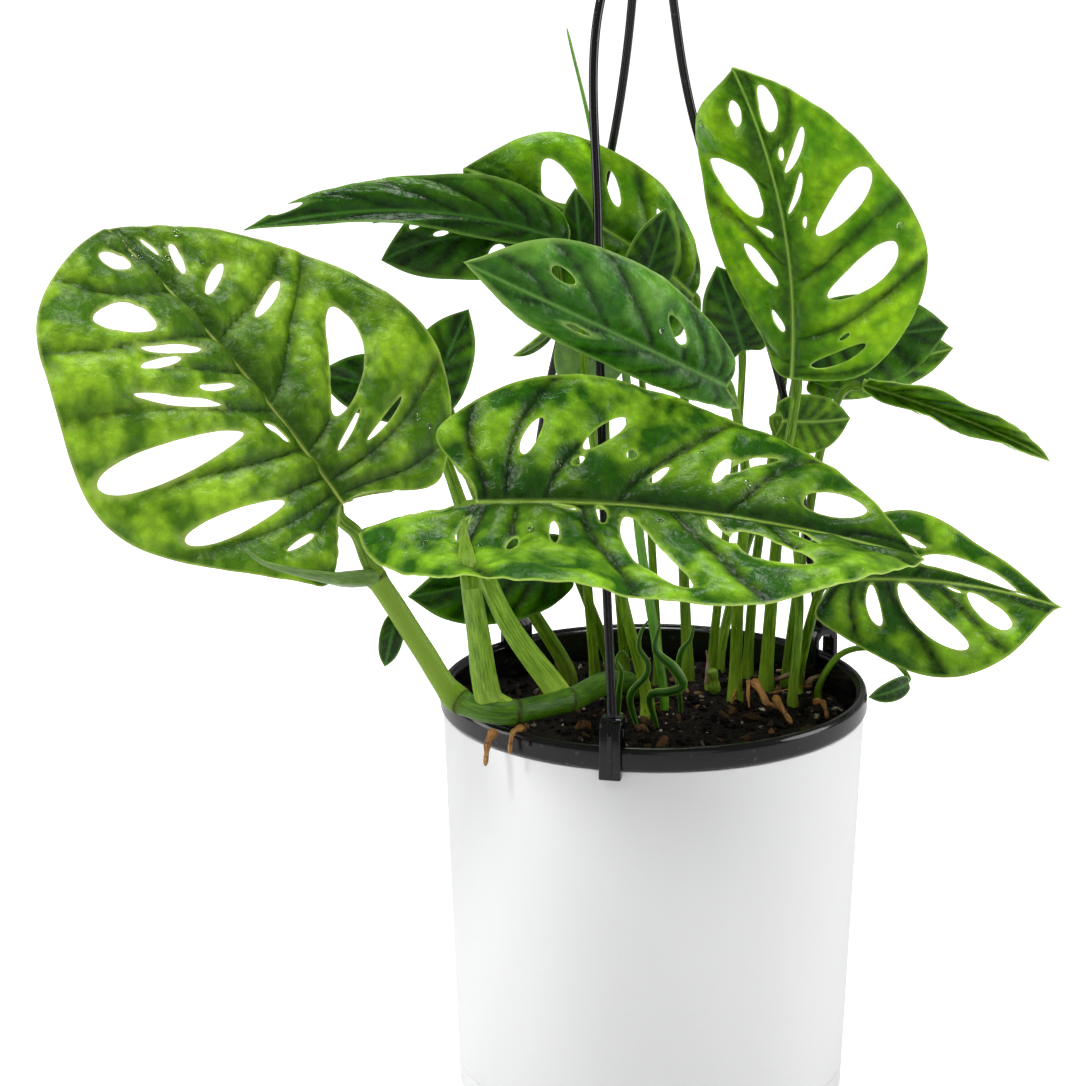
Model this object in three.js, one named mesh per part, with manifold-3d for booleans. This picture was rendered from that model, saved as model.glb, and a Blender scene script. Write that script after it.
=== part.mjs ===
// Potted Monstera adansonii in a hanging nursery pot: one group, one closed mesh per piece.
// Millimetres, +Z up, front towards -Y. The origin is the middle of the pot's underside.

import * as THREE from 'three';
import ManifoldModule from 'manifold-3d';
import { mergeVertices } from 'three/addons/utils/BufferGeometryUtils.js';

const wasm = await ManifoldModule();
wasm.setup();

// ---------------------------------------------------------------- driving dimensions

const GAP = 0.3; // clearance between two pieces that touch

const POT_HEIGHT = 150;
const RIM_RADIUS = 75; // outside of the black rim band
const RIM_BAND = 8; // height of the band
const RIM_LIP = 4.2; // width of the band's flat top
const BODY_TOP_RADIUS = RIM_RADIUS - 1.1; // white pot, just under the band
const BODY_BASE_RADIUS = BODY_TOP_RADIUS - 5.1; // white pot, at the table
const BODY_WALL = 1.8;
const SAUCER_HEIGHT = 11;
const SAUCER_CORNER = 4; // rounding of the saucer's bottom edge
const SAUCER_FLOOR = 2;
const NURSERY_WALL = 1.3;
const NURSERY_TAPER = 9; // how much narrower the inner pot is at its foot
const DRAIN_HOLES = 6;
const DRAIN_RADIUS = 4;
const SOIL_DEPTH_BELOW_RIM = 13;
const SOIL_TOP = POT_HEIGHT - SOIL_DEPTH_BELOW_RIM;
const POT_FACETS = 36;

const STRAND_RADIUS = 1.5;
const CLIP_WIDTH = 7.4;
const CLIP_PLATE = 2;
const CLIP_FOOT = 2.4; // height of the foot that hooks under the band
const CLIP_ARCH = 10; // arch above the rim's top
const CLIP_INNER_REACH = 6; // how far the inner leg goes down inside the rim
const HEAD_CENTRE = [-4, 0];
const HEAD_ABOVE_RIM = 283;
const HEAD_BASE_Z = POT_HEIGHT + HEAD_ABOVE_RIM;
const HEAD_HEIGHT = 13;
const HEAD_RADIUS = 7;
const STRAND_PITCH_RADIUS = 4.2; // strand ends around the head's middle
const HOOK_RADIUS = 11; // to the middle of the hook's wire
const HOOK_WIRE = 2.1;
const HOOK_SHANK = 16;

// Places in the tables below are [x, y, height above the rim], given for a rim of this radius. In a
// wider or narrower pot they move out or in with the rim.
const TABLED_RIM_RADIUS = 75;

const BLADE_THICKNESS = 0.8;
const STALK_SIDES = 6;

// ---------------------------------------------------------------- colours

const COLOURS = {
  black_plastic: [0x121313, 0.35, 0],
  white_plastic: [0xe9e9ea, 0.45, 0],
  soil: [0x1c130d, 0.95, 0],
  leaf_bright: [0x5f9f14, 0.35, 0],
  leaf_dark: [0x1f5512, 0.4, 0],
  stalk: [0x7fae35, 0.45, 0],
  new_leaf: [0x7d9c55, 0.45, 0],
  root: [0x8a5a2b, 0.8, 0],
};

function material(name) {
  const [color, roughness, metalness] = COLOURS[name];
  return new THREE.MeshStandardMaterial({ color, roughness, metalness, name });
}

// ---------------------------------------------------------------- leaves

// base and tip are the two ends of the midrib. across points from the midrib over the left half.
// Each half: wide is its greatest width, lobe how far it reaches back past the base, lean moves the
// widest place towards the base (positive), point sharpens the tip, fold and roll are the slope at
// the midrib and the extra slope at the margin in degrees (positive is up), wave ripples the margin.
// cleft is where round the outline (0 tip, 180 base) the cleft at the stalk starts, 150 if not given.
// A hole is [along, out, half size along, half size out, slant], all as parts of the half's surface.

function small(base, tip, across, wideLeft, wideRight, lobe) {
  const half = (wide) => ({ wide, lobe, lean: 0.2, point: 1.1, fold: 8, roll: -16, wave: 0 });
  return {
    base, tip, across,
    arch: 2, sag: 0, curl: 0, twist: 0, waves: 2, phase: 0,
    left: half(wideLeft),
    right: half(wideRight),
  };
}

const LEAVES = {
  left_big: {
    base: [-104, -62, 80], tip: [-182, -30, 165], across: [-0.5, -0.85, -0.1],
    arch: 4, sag: 0, curl: 0, twist: 6, waves: 2, phase: -0.6,
    left: { wide: 75, lobe: 28, lean: -0.2, point: 0.2, fold: 10, roll: -60, wave: 9 },
    right: { wide: 66, lobe: 20, lean: 0.2, point: 0.7, fold: 10, roll: 15, wave: -3 },
    holesLeft: [
      [0.91, 0.58, 0.02, 0.18, 0], [0.79, 0.56, 0.03, 0.18, 0], [0.73, 0.36, 0.01, 0.18, 0],
      [0.7, 0.47, 0.01, 0.11, -0.1], [0.64, 0.26, 0.01, 0.1, 0], [0.62, 0.48, 0.01, 0.18, 0.1],
      [0.52, 0.63, 0.03, 0.33, 0], [0.5, 0.11, 0.03, 0.03, 0.6], [0.35, 0.67, 0.03, 0.23, 0.1],
      [0.22, 0.68, 0.01, 0.1, 0.2],
    ],
    holesRight: [
      [0.89, 0.71, 0.01, 0.1, 0.1], [0.84, 0.65, 0.01, 0.18, 0], [0.78, 0.56, 0.01, 0.18, -0.1],
      [0.68, 0.61, 0.01, 0.16, -0.1], [0.5, 0.54, 0.05, 0.24, 0.2], [0.34, 0.53, 0.01, 0.16, 0.1],
      [0.38, 0.29, 0.01, 0.12, 0.2],
    ],
  },
  front_big: {
    base: [-60, -88, 87], tip: [83, -87, 68], across: [0.1, 0.7, 0.75],
    arch: 3, sag: 5, curl: 0, twist: -24, waves: 1.5, phase: -1,
    left: { wide: 46, lobe: 25, lean: 0.1, point: 1.4, fold: 10, roll: -10, wave: 7 },
    right: { wide: 53, lobe: 36.5, lean: 0, point: 0.6, fold: 11.5, roll: 26, wave: 12, cleft: 172 },
    holesLeft: [
      [0.32, 0.52, 0.02, 0.13, 0.1], [0.46, 0.55, 0.02, 0.15, 0.1], [0.44, 0.32, 0.01, 0.04, 0.1],
      [0.53, 0.41, 0.01, 0.04, -0.1], [0.67, 0.47, 0.01, 0.14, -0.1], [0.68, 0.64, 0.01, 0.18, 0],
      [0.8, 0.71, 0.03, 0.21, 0], [0.6, 0.28, 0.01, 0.08, 0],
    ],
    holesRight: [
      [0.44, 0.05, 0.02, 0.03, 0.6], [0.412, 0.31, 0.01, 0.11, 0], [0.327, 0.48, 0.011, 0.08, 0],
      [0.172, 0.42, 0.012, 0.15, 0.2], [0.52, 0.1, 0.01, 0.08, 0], [0.567, 0.48, 0.03, 0.33, 0],
      [0.708, 0.27, 0.011, 0.14, 0], [0.743, 0.49, 0.032, 0.27, 0], [0.828, 0.31, 0.011, 0.14, 0],
    ],
  },
  upper_right: {
    base: [46, -2, 109], tip: [23, -21, 217], across: [-0.9, 0.45, -0.1],
    arch: -4, sag: -6, curl: 0, twist: -2, waves: 2, phase: -0.4,
    left: { wide: 31, lobe: 0, lean: -0.4, point: 1.4, fold: -25, roll: 20, wave: -6 },
    right: { wide: 46, lobe: 5, lean: 0.2, point: 0.4, fold: 5, roll: -20, wave: 4 },
    holesLeft: [
      [0.84, 0.72, 0.03, 0.1, 0], [0.68, 0.56, 0.05, 0.32, -0.1], [0.64, 0.28, 0.01, 0.12, -0.1],
      [0.53, 0.39, 0.03, 0.2, 0], [0.39, 0.25, 0.03, 0.1, 0.1],
    ],
    holesRight: [
      [0.88, 0.61, 0.03, 0.29, 0], [0.79, 0.52, 0.01, 0.26, 0], [0.82, 0.33, 0.01, 0.06, 0],
      [0.74, 0.28, 0.01, 0.17, 0.1], [0.68, 0.26, 0.01, 0.03, 0.2], [0.64, 0.64, 0.03, 0.3, 0],
      [0.48, 0.57, 0.04, 0.28, 0], [0.32, 0.44, 0.01, 0.04, 0.1], [0.23, 0.45, 0.04, 0.22, 0.1],
    ],
  },
  middle: {
    base: [22, -38, 114], tip: [-63, -96, 165], across: [-0.55, 0.05, -0.85],
    arch: 7, sag: -2, curl: 1, twist: 0, waves: 2, phase: 0,
    left: { wide: 11, lobe: 18, lean: -0.1, point: 1.2, fold: 20, roll: -50, wave: 0 },
    right: { wide: 23, lobe: 3, lean: -0.2, point: 1.2, fold: -10, roll: -20, wave: 2 },
    holesLeft: [
      [0.72, 0.48, 0.03, 0.08, 0],
    ],
    holesRight: [
      [0.76, 0.65, 0.02, 0.11, 0], [0.48, 0.41, 0.03, 0.17, 0],
    ],
  },
  back_arch: {
    base: [14, 34, 131], tip: [-66, 13, 179], across: [-0.3, -0.12, -0.95],
    arch: 12, sag: -5, curl: 0, twist: 0, waves: 2, phase: -0.8,
    left: { wide: 26, lobe: 8, lean: 0.1, point: 0.6, fold: 0, roll: 0, wave: 0 },
    right: { wide: 26, lobe: 0, lean: -0.1, point: 0.9, fold: -5, roll: -20, wave: -5 },
    holesRight: [
      [0.785, 0.4, 0.045, 0.33, -0.09], [0.615, 0.54, 0.018, 0.2, -0.1], [0.45, 0.5, 0.02, 0.14, 0],
    ],
  },
  left_long: {
    base: [-30, -14, 158], tip: [-137, -34, 165], across: [0, -0.55, -0.85],
    arch: 8, sag: -6, curl: -1, twist: 0, waves: 2, phase: 0.5,
    left: { wide: 5.5, lobe: 3, lean: 0.4, point: 1.4, fold: 10, roll: -30, wave: 2 },
    right: { wide: 13.5, lobe: 4, lean: 0.4, point: 0.9, fold: 12, roll: -28, wave: -4 },
    holesRight: [
      [0.8, 0.94, 0.04, 0.08, 0],
    ],
  },
  left_low: {
    base: [-37, 2, 152], tip: [-93, -14, 152], across: [0.05, -0.15, -1],
    arch: 4, sag: -7, curl: 0, twist: 0, waves: 2, phase: 0,
    left: { wide: 15, lobe: 4, lean: 0.1, point: 1, fold: 0, roll: -10, wave: 0 },
    right: { wide: 17, lobe: 4, lean: 0.2, point: 0.8, fold: 0, roll: -20, wave: 0 },
    holesLeft: [
      [0.53, 0.32, 0.04, 0.16, 0],
    ],
    holesRight: [
      [0.76, 0.82, 0.03, 0.1, 0], [0.79, 0.24, 0.025, 0.12, 0], [0.67, 0.22, 0.03, 0.12, 0],
    ],
  },
  right_narrow: {
    base: [72, 12, 104], tip: [142, 30, 73], across: [0.2, 0.55, 0.8],
    arch: 4, sag: 0, curl: 2, twist: 0, waves: 3.5, phase: 0,
    left: { wide: 9, lobe: 3, lean: 0.2, point: 1.1, fold: 75, roll: 0, wave: 2 },
    right: { wide: 6, lobe: 3, lean: 0.2, point: 1.1, fold: 20, roll: 0, wave: 2 },
  },
  bottom_right: {
    base: [62, 6, 35], tip: [142, -3, 28], across: [0.1, 0.65, 0.75],
    arch: 3, sag: 3, curl: 0, twist: -8, waves: 2, phase: -1.3,
    left: { wide: 24, lobe: 17, lean: 0.4, point: 2, fold: -5, roll: 0, wave: -7 },
    right: { wide: 34, lobe: 9, lean: -0.2, point: 2, fold: 5, roll: -20, wave: 4 },
    holesLeft: [
      [0.48, 0.63, 0.06, 0.06, -0.6], [0.7, 0.51, 0.12, 0.21, 0.3], [0.87, 0.5, 0.02, 0.12, 0],
    ],
    holesRight: [
      [0.72, 0.12, 0.01, 0.06, 0.2], [0.76, 0.51, 0.03, 0.31, 0], [0.59, 0.42, 0.05, 0.37, 0.1],
      [0.41, 0.34, 0.03, 0.26, 0],
    ],
  },
  small_a: small([-26, -4, 151], [-28, -4, 175], [-1, 0, -0.1], 6, 6, 3),
  small_b: small([-30.4, -1, 149.6], [-34.4, -1, 167.6], [-0.95, 0, -0.25], 4, 4, 2),
  back_dark: small([-6, 8, 137], [3, 4, 167], [-0.95, -0.2, 0.25], 9, 9, 4),
  behind_left_a: small([-78, -2, 100], [-64, -6, 134], [-0.85, 0.25, 0.4], 12, 10, 4),
  behind_left_b: small([-76, 14, 100], [-117, 8, 109], [-0.25, 0, -0.95], 12, 12, 4),
  right_dark: small([53, 26, 118], [104, 34, 120], [0, -0.15, 1], 15, 20, 5),
  right_bright: small([56, 34, 104], [107, 42, 111], [-0.05, -0.35, 0.95], 16, 13, 5),
  under_right: small([45, 18, 90], [69, 22, 90], [0.05, -0.15, 1], 10, 12, 4),
  mid_dark: small([31, 22, 114], [21, 16, 145], [-0.95, -0.15, -0.35], 11, 12, 4),
  small_left: small([-34, -4, 129], [-49, -12, 119], [0.05, 0.75, -0.65], 4, 5, 2),
  under_mid: small([-17, -2, 127], [-30, -13, 105], [-0.8, -0.2, 0.55], 13, 13, 4),
  low_dark: small([-31, 22, 38], [-86, 0, 31], [0.05, 0.15, -1], 17, 14, 6),
  curl_left: small([-88, -44, 37], [-92, -44, 19], [1, 0, -0.2], 4, 4, 1),
  rim_small: small([91, 12, -4], [76, 4, -7], [0.2, 0.05, -1], 4, 4, 1),
};

const DARK_LEAVES = [
  'left_long', 'left_low', 'small_b', 'back_dark', 'behind_left_a', 'behind_left_b',
  'right_dark', 'mid_dark', 'under_mid', 'low_dark',
];

// ---------------------------------------------------------------- stalks

// The way each stalk takes from where it starts to just short of its leaf, with its radius at the
// foot and at the leaf. The last point comes from the leaf itself.

const STALKS = {
  left_big: { foot: 2.6, neck: 2.0, way: [[-96.5, -53, 58], [-100, -58, 69]] },
  front_big: { foot: 5.2, neck: 2.4, way: [[-58, -51, 11.5], [-60, -60, 33], [-63, -76, 64]] },
  upper_right: { foot: 2.6, neck: 1.6, root: [42, 33], way: [[43, 28, 21], [45, 14, 68]] },
  middle: { foot: 2.4, neck: 1.5, root: [30, 20], way: [[30, 10, 30], [30, -16, 80]] },
  back_arch: { foot: 2.2, neck: 1.5, root: [14, 44], way: [[12, 50, 40], [12, 46, 95]] },
  left_long: { foot: 2.2, neck: 1.5, root: [-2, 2], way: [[-13, -8, 40], [-24, -16, 108]] },
  left_low: { foot: 2.0, neck: 1.3, root: [-20, 28], way: [[-24, 16, 40], [-31, 4, 112]] },
  small_a: { foot: 1.7, neck: 1.0, root: [-3, 27], way: [[-13, 18, 40], [-20, 4, 112]] },
  back_dark: { foot: 1.8, neck: 1.0, root: [3, 33], way: [[0, 22, 40], [-4, 11, 100]] },
  behind_left_a: { foot: 3.8, neck: 1.6, way: [[-35, -28, 8.5], [-52, -22, 30], [-70, -4, 74]] },
  behind_left_b: { foot: 3.0, neck: 1.5, root: [-30, 38], way: [[-46, 34, 22], [-66, 22, 72]] },
  right_dark: { foot: 2.0, neck: 1.3, root: [36, 44], way: [[38, 42, 30], [44, 34, 82]] },
  right_bright: { foot: 2.0, neck: 1.3, root: [26, 52], way: [[34, 54, 30], [48, 48, 76]] },
  right_narrow: { foot: 2.0, neck: 1.4, root: [50, 38], way: [[54, 38, 30], [61, 34, 80]] },
  bottom_right: { foot: 2.2, neck: 1.6, root: [53, 28], way: [[54, 24, 2], [57, 14, 22]] },
  under_right: { foot: 1.8, neck: 1.2, root: [50, 12], way: [[52, 16, 26], [47, 22, 72]] },
  mid_dark: { foot: 1.8, neck: 1.2, root: [22, 34], way: [[25, 32, 30], [30, 28, 82]] },
  under_mid: { foot: 1.9, neck: 1.3, root: [-9, 36], way: [[-12, 30, 30], [-17, 18, 90]] },
  low_dark: { foot: 2.6, neck: 1.6, root: [-14, 46], way: [[-18, 42, 5], [-25, 32, 26]] },
  rim_small: { foot: 1.3, neck: 0.9, root: [60, 20], way: [[68, 21, 4], [80, 18, 6.5]] },
};

// The creeping stem: out of the soil, over the rim and up to the left.
const VINE_ROOT = [-8, 20];
const VINE_WAY = [
  [-16, 5, -2], [-30, -30, 3], [-42, -45, 4.8], [-54, -53, 5.6],
  [-67.5, -45, 8], [-79, -47, 26], [-88, -50, 42], [-94, -52, 52],
];
const VINE_FOOT = 4.4;
const VINE_NECK = 3.4;

// Leaves that are still rolled up.
const ROLLED = {
  new_leaf_left: {
    foot: 2.4, neck: 0.5,
    way: [
      [-99, -61, 54.2], [-101.8, -74, 57.7], [-106.2, -95, 63.9], [-117.9, -107, 69.8], [-131.8, -111, 77.9],
    ],
  },
  new_leaf_top: {
    foot: 1.7, neck: 0.4, root: [4, 6],
    way: [[-5, 10, 50], [-11, 8, 114], [-19, -1, 154], [-22, -9, 190], [-31, -10, 229]],
  },
};

const ROOTS = {
  root_rim_left: { foot: 1.6, neck: 0.5, way: [[-55, -57.5, 0.8], [-57, -60.5, -2], [-58, -62, -10]] },
  root_rim_right: { foot: 1.2, neck: 0.5, way: [[-46, -56, 1.5], [-49, -63, 1.5], [-50, -64, -5]] },
  root_soil_left: { foot: 1.6, neck: 0.7, way: [[44, 10, -9.5], [45, -2, -9], [48, -12, -11.6]] },
  root_soil_right: { foot: 1.4, neck: 0.6, way: [[58, 8, -10], [60, 2, -8.5], [61, -6, -11.6]] },
};

// Strands: where each one is around the rim (degrees right of the front), and two points it passes.
const STRANDS = {
  front: { around: -12.7, bow: [[-19, -59.5, 80], [-21, -43, 170], [-21, -24, 234]], end: -90 },
  back_left: { around: -137.8, bow: [[-36, 42, 100], [-15.8, 30, 180], [-8.8, 15, 235]], end: 150 },
  back_right: { around: 121, bow: [[45, 28.5, 100], [12.4, 12, 195.7], [4.8, 6.4, 236]], end: 30 },
};

// ---------------------------------------------------------------- small helpers

const v3 = (p) => new THREE.Vector3(...p);
const rad = (degrees) => (degrees * Math.PI) / 180;
const clamp01 = (x) => Math.min(1, Math.max(0, x));
const smooth = (x) => x * x * (3 - 2 * x);

// A tabled place in the part's own axes.
function place([x, y, height]) {
  const r = Math.hypot(x, y);
  const further = RIM_RADIUS - TABLED_RIM_RADIUS;
  const share = r > TABLED_RIM_RADIUS ? further / r : further / TABLED_RIM_RADIUS;
  return [x * (1 + share), y * (1 + share), height + POT_HEIGHT];
}

function toManifold(geometry) {
  const bare = new THREE.BufferGeometry();
  bare.setAttribute('position', geometry.getAttribute('position').clone());
  if (geometry.index) bare.setIndex(geometry.index.clone());
  const merged = mergeVertices(bare, 1e-4);
  return new wasm.Manifold(new wasm.Mesh({
    numProp: 3,
    vertProperties: new Float32Array(merged.getAttribute('position').array),
    triVerts: new Uint32Array(merged.index.array),
  }));
}

function fromManifold(solid) {
  const mesh = solid.getMesh();
  const geometry = new THREE.BufferGeometry();
  geometry.setAttribute('position', new THREE.BufferAttribute(new Float32Array(mesh.vertProperties), 3));
  geometry.setIndex(new THREE.BufferAttribute(new Uint32Array(mesh.triVerts), 1));
  return geometry;
}

function fromPoints(points, faces) {
  const flat = points.flatMap((p) => [p.x, p.y, p.z]);
  const geometry = new THREE.BufferGeometry();
  geometry.setAttribute('position', new THREE.Float32BufferAttribute(flat, 3));
  geometry.setIndex(faces.flat());
  return geometry;
}

function finish(name, geometry, colour) {
  geometry.computeVertexNormals();
  const mesh = new THREE.Mesh(geometry, material(colour));
  mesh.name = name;
  return mesh;
}

// A closed solid of revolution about +Z from an outline of [radius, z] points that starts and ends
// on the axis, going up the outside.
function turned(outline, facets = POT_FACETS) {
  const profile = outline.map(([r, z]) => new THREE.Vector2(r, z));
  return new THREE.LatheGeometry(profile, facets).rotateX(Math.PI / 2);
}

// A closed round stalk along a smooth curve, with its radius going from foot to neck.
function taperedStalk(way, foot, neck, steps, sides = STALK_SIDES) {
  const curve = new THREE.CatmullRomCurve3(way.map(v3), false, 'centripetal');
  const frames = curve.computeFrenetFrames(steps, false);
  const points = [];
  for (let i = 0; i <= steps; i++) {
    const centre = curve.getPointAt(i / steps);
    const radius = foot + (neck - foot) * (i / steps);
    for (let k = 0; k < sides; k++) {
      const a = (2 * Math.PI * k) / sides;
      const out = frames.normals[i].clone().multiplyScalar(Math.cos(a));
      out.addScaledVector(frames.binormals[i], Math.sin(a));
      points.push(centre.clone().addScaledVector(out, radius));
    }
  }
  const faces = [];
  for (let i = 0; i < steps; i++) {
    for (let k = 0; k < sides; k++) {
      const a = i * sides + k;
      const b = i * sides + ((k + 1) % sides);
      faces.push([a, b, b + sides], [a, b + sides, a + sides]);
    }
  }
  const top = steps * sides;
  for (let k = 1; k < sides - 1; k++) {
    faces.push([0, k + 1, k], [top, top + k, top + k + 1]);
  }
  return fromPoints(points, faces);
}

// A tabled way in the part's own axes, coming straight up out of the soil at root, if it has one.
function fromSoil(root, way) {
  const rest = way.map(place);
  if (!root) return rest;
  const [x, y] = place([...root, 0]);
  const start = SOIL_TOP + GAP;
  return [[x, y, start], [x, y, start + 5], ...rest];
}

// ---------------------------------------------------------------- the leaf surface

// The leaf's own axes: x along the midrib, y over the left half, n out of the upper face.
function leafAxes(leaf) {
  const base = v3(place(leaf.base));
  const x = v3(leaf.tip).sub(v3(leaf.base));
  const length = x.length();
  x.divideScalar(length);
  const y = v3(leaf.across);
  y.addScaledVector(x, -y.dot(x)).normalize();
  const n = x.clone().cross(y);
  return { base, length, x, y, n };
}

// A point on the leaf: side is 1 left or -1 right, out is 0 at the midrib and 1 at the margin,
// along is 0 at the base and 1 at the tip. A side vein runs where along stays the same.
function leafPoint(leaf, axes, side, out, along) {
  const half = side > 0 ? leaf.left : leaf.right;
  const L = axes.length;
  const turn = Math.PI * (1 - along);
  const c = Math.cos(turn);
  const full = clamp01(Math.sin(turn)) ** (0.9 + half.point * Math.max(0, c) ** 2);
  const cleft = rad(half.cleft ?? 150);
  const sinus = smooth(clamp01((turn - cleft) / (Math.PI - cleft)));
  const edgeX = (L - half.lobe) / 2 + ((L + half.lobe) / 2) * c + half.lobe * sinus;
  const edgeY = half.wide * full * (1 - half.lean * c);
  const rootX = L * along ** 2;
  const x = rootX + (edgeX - rootX) * out ** 1.5;
  const q = (edgeY * out) / half.wide;
  const roll = rad(Math.abs(half.roll) < 0.1 ? 0.1 : half.roll);
  const fold = rad(half.fold);
  let y = (half.wide / roll) * (Math.sin(fold + roll * q) - Math.sin(fold)) * side;
  let z = (-half.wide / roll) * (Math.cos(fold + roll * q) - Math.cos(fold));
  z += half.wave * q * q * Math.sin(2 * Math.PI * leaf.waves * along + leaf.phase);
  const u = x / L;
  const spin = rad(leaf.twist) * u;
  [y, z] = [y * Math.cos(spin) - z * Math.sin(spin), y * Math.sin(spin) + z * Math.cos(spin)];
  y += 4 * leaf.sag * u * (1 - u);
  z += 4 * leaf.arch * u * (1 - u) - leaf.curl * Math.min(4, Math.max(0, (u - 0.8) / 0.2) ** 2);
  return axes.base.clone()
    .addScaledVector(axes.x, x)
    .addScaledVector(axes.y, y)
    .addScaledVector(axes.n, z);
}

function leafNormal(leaf, axes, side, out, along) {
  const step = 0.02;
  const p = leafPoint(leaf, axes, side, out, along);
  const du = leafPoint(leaf, axes, side, out + step, along).sub(p);
  const dv = leafPoint(leaf, axes, side, out, along + step).sub(p);
  return dv.cross(du).multiplyScalar(side).normalize();
}

// The blade as a thin closed slab: a grid of points on the surface, offset up and down.
function bladeSlab(leaf, axes, rows, columns) {
  const points = [axes.base.clone()];
  const width = 2 * columns + 1;
  for (let i = 1; i < rows; i++) {
    for (let j = -columns; j <= columns; j++) {
      const side = j < 0 ? -1 : 1;
      points.push(leafPoint(leaf, axes, side, Math.abs(j) / columns, i / rows));
    }
  }
  points.push(leafPoint(leaf, axes, 1, 0, 1));
  const tip = points.length - 1;
  const at = (i, j) => 1 + (i - 1) * width + j + columns;
  const faces = [];
  const ring = [];
  for (let j = -columns; j < columns; j++) {
    faces.push([0, at(1, j), at(1, j + 1)]);
    faces.push([at(rows - 1, j), tip, at(rows - 1, j + 1)]);
    for (let i = 1; i < rows - 1; i++) {
      faces.push([at(i, j), at(i + 1, j), at(i + 1, j + 1)]);
      faces.push([at(i, j), at(i + 1, j + 1), at(i, j + 1)]);
    }
  }
  ring.push(0);
  for (let i = 1; i < rows; i++) ring.push(at(i, -columns));
  ring.push(tip);
  for (let i = rows - 1; i > 0; i--) ring.push(at(i, columns));
  const sheet = fromPoints(points, faces);
  sheet.computeVertexNormals();
  const normals = sheet.getAttribute('normal');
  const count = points.length;
  const both = [];
  for (const sign of [0.5, -0.5]) {
    points.forEach((p, k) => {
      const n = new THREE.Vector3().fromBufferAttribute(normals, k);
      both.push(p.clone().addScaledVector(n, sign * BLADE_THICKNESS));
    });
  }
  const solid = [...faces, ...faces.map(([a, b, c]) => [a + count, c + count, b + count])];
  ring.forEach((a, k) => {
    const b = ring[(k + 1) % ring.length];
    solid.push([a, a + count, b + count], [a, b + count, b]);
  });
  return fromPoints(both, solid);
}

// A short prism through the blade, in the shape of one hole.
function holeCutter(leaf, axes, side, [along, out, halfAlong, halfOut, slant]) {
  const corners = 6;
  const n = leafNormal(leaf, axes, side, out, along);
  const rim = [];
  for (let k = 0; k < corners; k++) {
    const a = (2 * Math.PI * k) / corners;
    const o = clamp01(out + halfOut * Math.cos(a));
    const t = clamp01(along + halfAlong * Math.sin(a) + slant * halfOut * Math.cos(a));
    rim.push(leafPoint(leaf, axes, side, o, t));
  }
  const reach = 9;
  const points = [];
  for (const sign of [1, -1]) rim.forEach((p) => points.push(p.clone().addScaledVector(n, sign * reach)));
  const faces = [];
  for (let k = 0; k < corners; k++) {
    const b = (k + 1) % corners;
    faces.push([k, b, b + corners], [k, b + corners, k + corners]);
  }
  for (let k = 1; k < corners - 1; k++) {
    faces.push([0, k + 1, k], [corners, corners + k, corners + k + 1]);
  }
  const cutter = toManifold(fromPoints(points, faces));
  if (cutter.volume() > 0) return cutter;
  return toManifold(fromPoints(points, faces.map(([a, b, c]) => [a, c, b])));
}

function blade(name, leaf) {
  const axes = leafAxes(leaf);
  const large = axes.length > 45;
  const slab = bladeSlab(leaf, axes, large ? 9 : 6, large ? 3 : 2);
  let solid = toManifold(slab);
  if (solid.volume() < 0) throw new Error(`${name} is inside out`);
  for (const [side, holes] of [[1, leaf.holesLeft], [-1, leaf.holesRight]]) {
    for (const hole of holes ?? []) solid = solid.subtract(holeCutter(leaf, axes, side, hole));
  }
  const colour = DARK_LEAVES.includes(name) ? 'leaf_dark' : 'leaf_bright';
  return finish(`leaf_${name}`, fromManifold(solid), colour);
}

// The stalk runs under the first millimetres of its leaf's midrib, a clearance below the blade.
function stalk(name, { foot, neck, root, way }) {
  const leaf = LEAVES[name];
  const axes = leafAxes(leaf);
  const droop = Math.max(0, -Math.min(leaf.left.fold, leaf.right.fold));
  const below = neck / Math.cos(rad(droop)) + BLADE_THICKNESS / 2 + 2 * GAP;
  const approach = axes.base.clone().addScaledVector(axes.x, -2.5).addScaledVector(axes.n, -below - 2.5);
  const end = axes.base.clone().addScaledVector(axes.x, 0.5).addScaledVector(axes.n, -below);
  const points = [...fromSoil(root, way), approach.toArray(), end.toArray()];
  return finish(`stalk_${name}`, taperedStalk(points, foot, neck, 7), 'stalk');
}

// ---------------------------------------------------------------- pots and soil

// Outside radius of the white pot at height z.
function bodyRadius(z) {
  const top = POT_HEIGHT - RIM_BAND;
  return BODY_BASE_RADIUS + ((BODY_TOP_RADIUS - BODY_BASE_RADIUS) * z) / top;
}

function saucer() {
  const r = bodyRadius(0);
  const top = SAUCER_HEIGHT;
  const corner = [];
  for (let k = 0; k <= 3; k++) {
    const a = (Math.PI / 2) * (k / 3);
    corner.push([r - SAUCER_CORNER * (1 - Math.sin(a)), SAUCER_CORNER * (1 - Math.cos(a))]);
  }
  return finish('saucer', turned([
    [0, 0], ...corner, [bodyRadius(top), top], [bodyRadius(top) - BODY_WALL, top],
    [r - BODY_WALL, SAUCER_FLOOR], [0, SAUCER_FLOOR],
  ]), 'white_plastic');
}

const POT_SPIGOT_Z = SAUCER_FLOOR + GAP;
const POT_FLOOR_Z = POT_SPIGOT_Z + 2;

function coverPot() {
  const top = POT_HEIGHT - RIM_BAND - GAP;
  const seam = SAUCER_HEIGHT + GAP;
  const spigot = bodyRadius(0) - BODY_WALL - GAP;
  return finish('cover_pot', turned([
    [0, POT_SPIGOT_Z], [spigot, POT_SPIGOT_Z], [spigot, seam], [bodyRadius(seam), seam],
    [bodyRadius(top), top], [bodyRadius(top) - BODY_WALL, top],
    [spigot - BODY_WALL, POT_FLOOR_Z], [0, POT_FLOOR_Z],
  ]), 'white_plastic');
}

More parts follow.
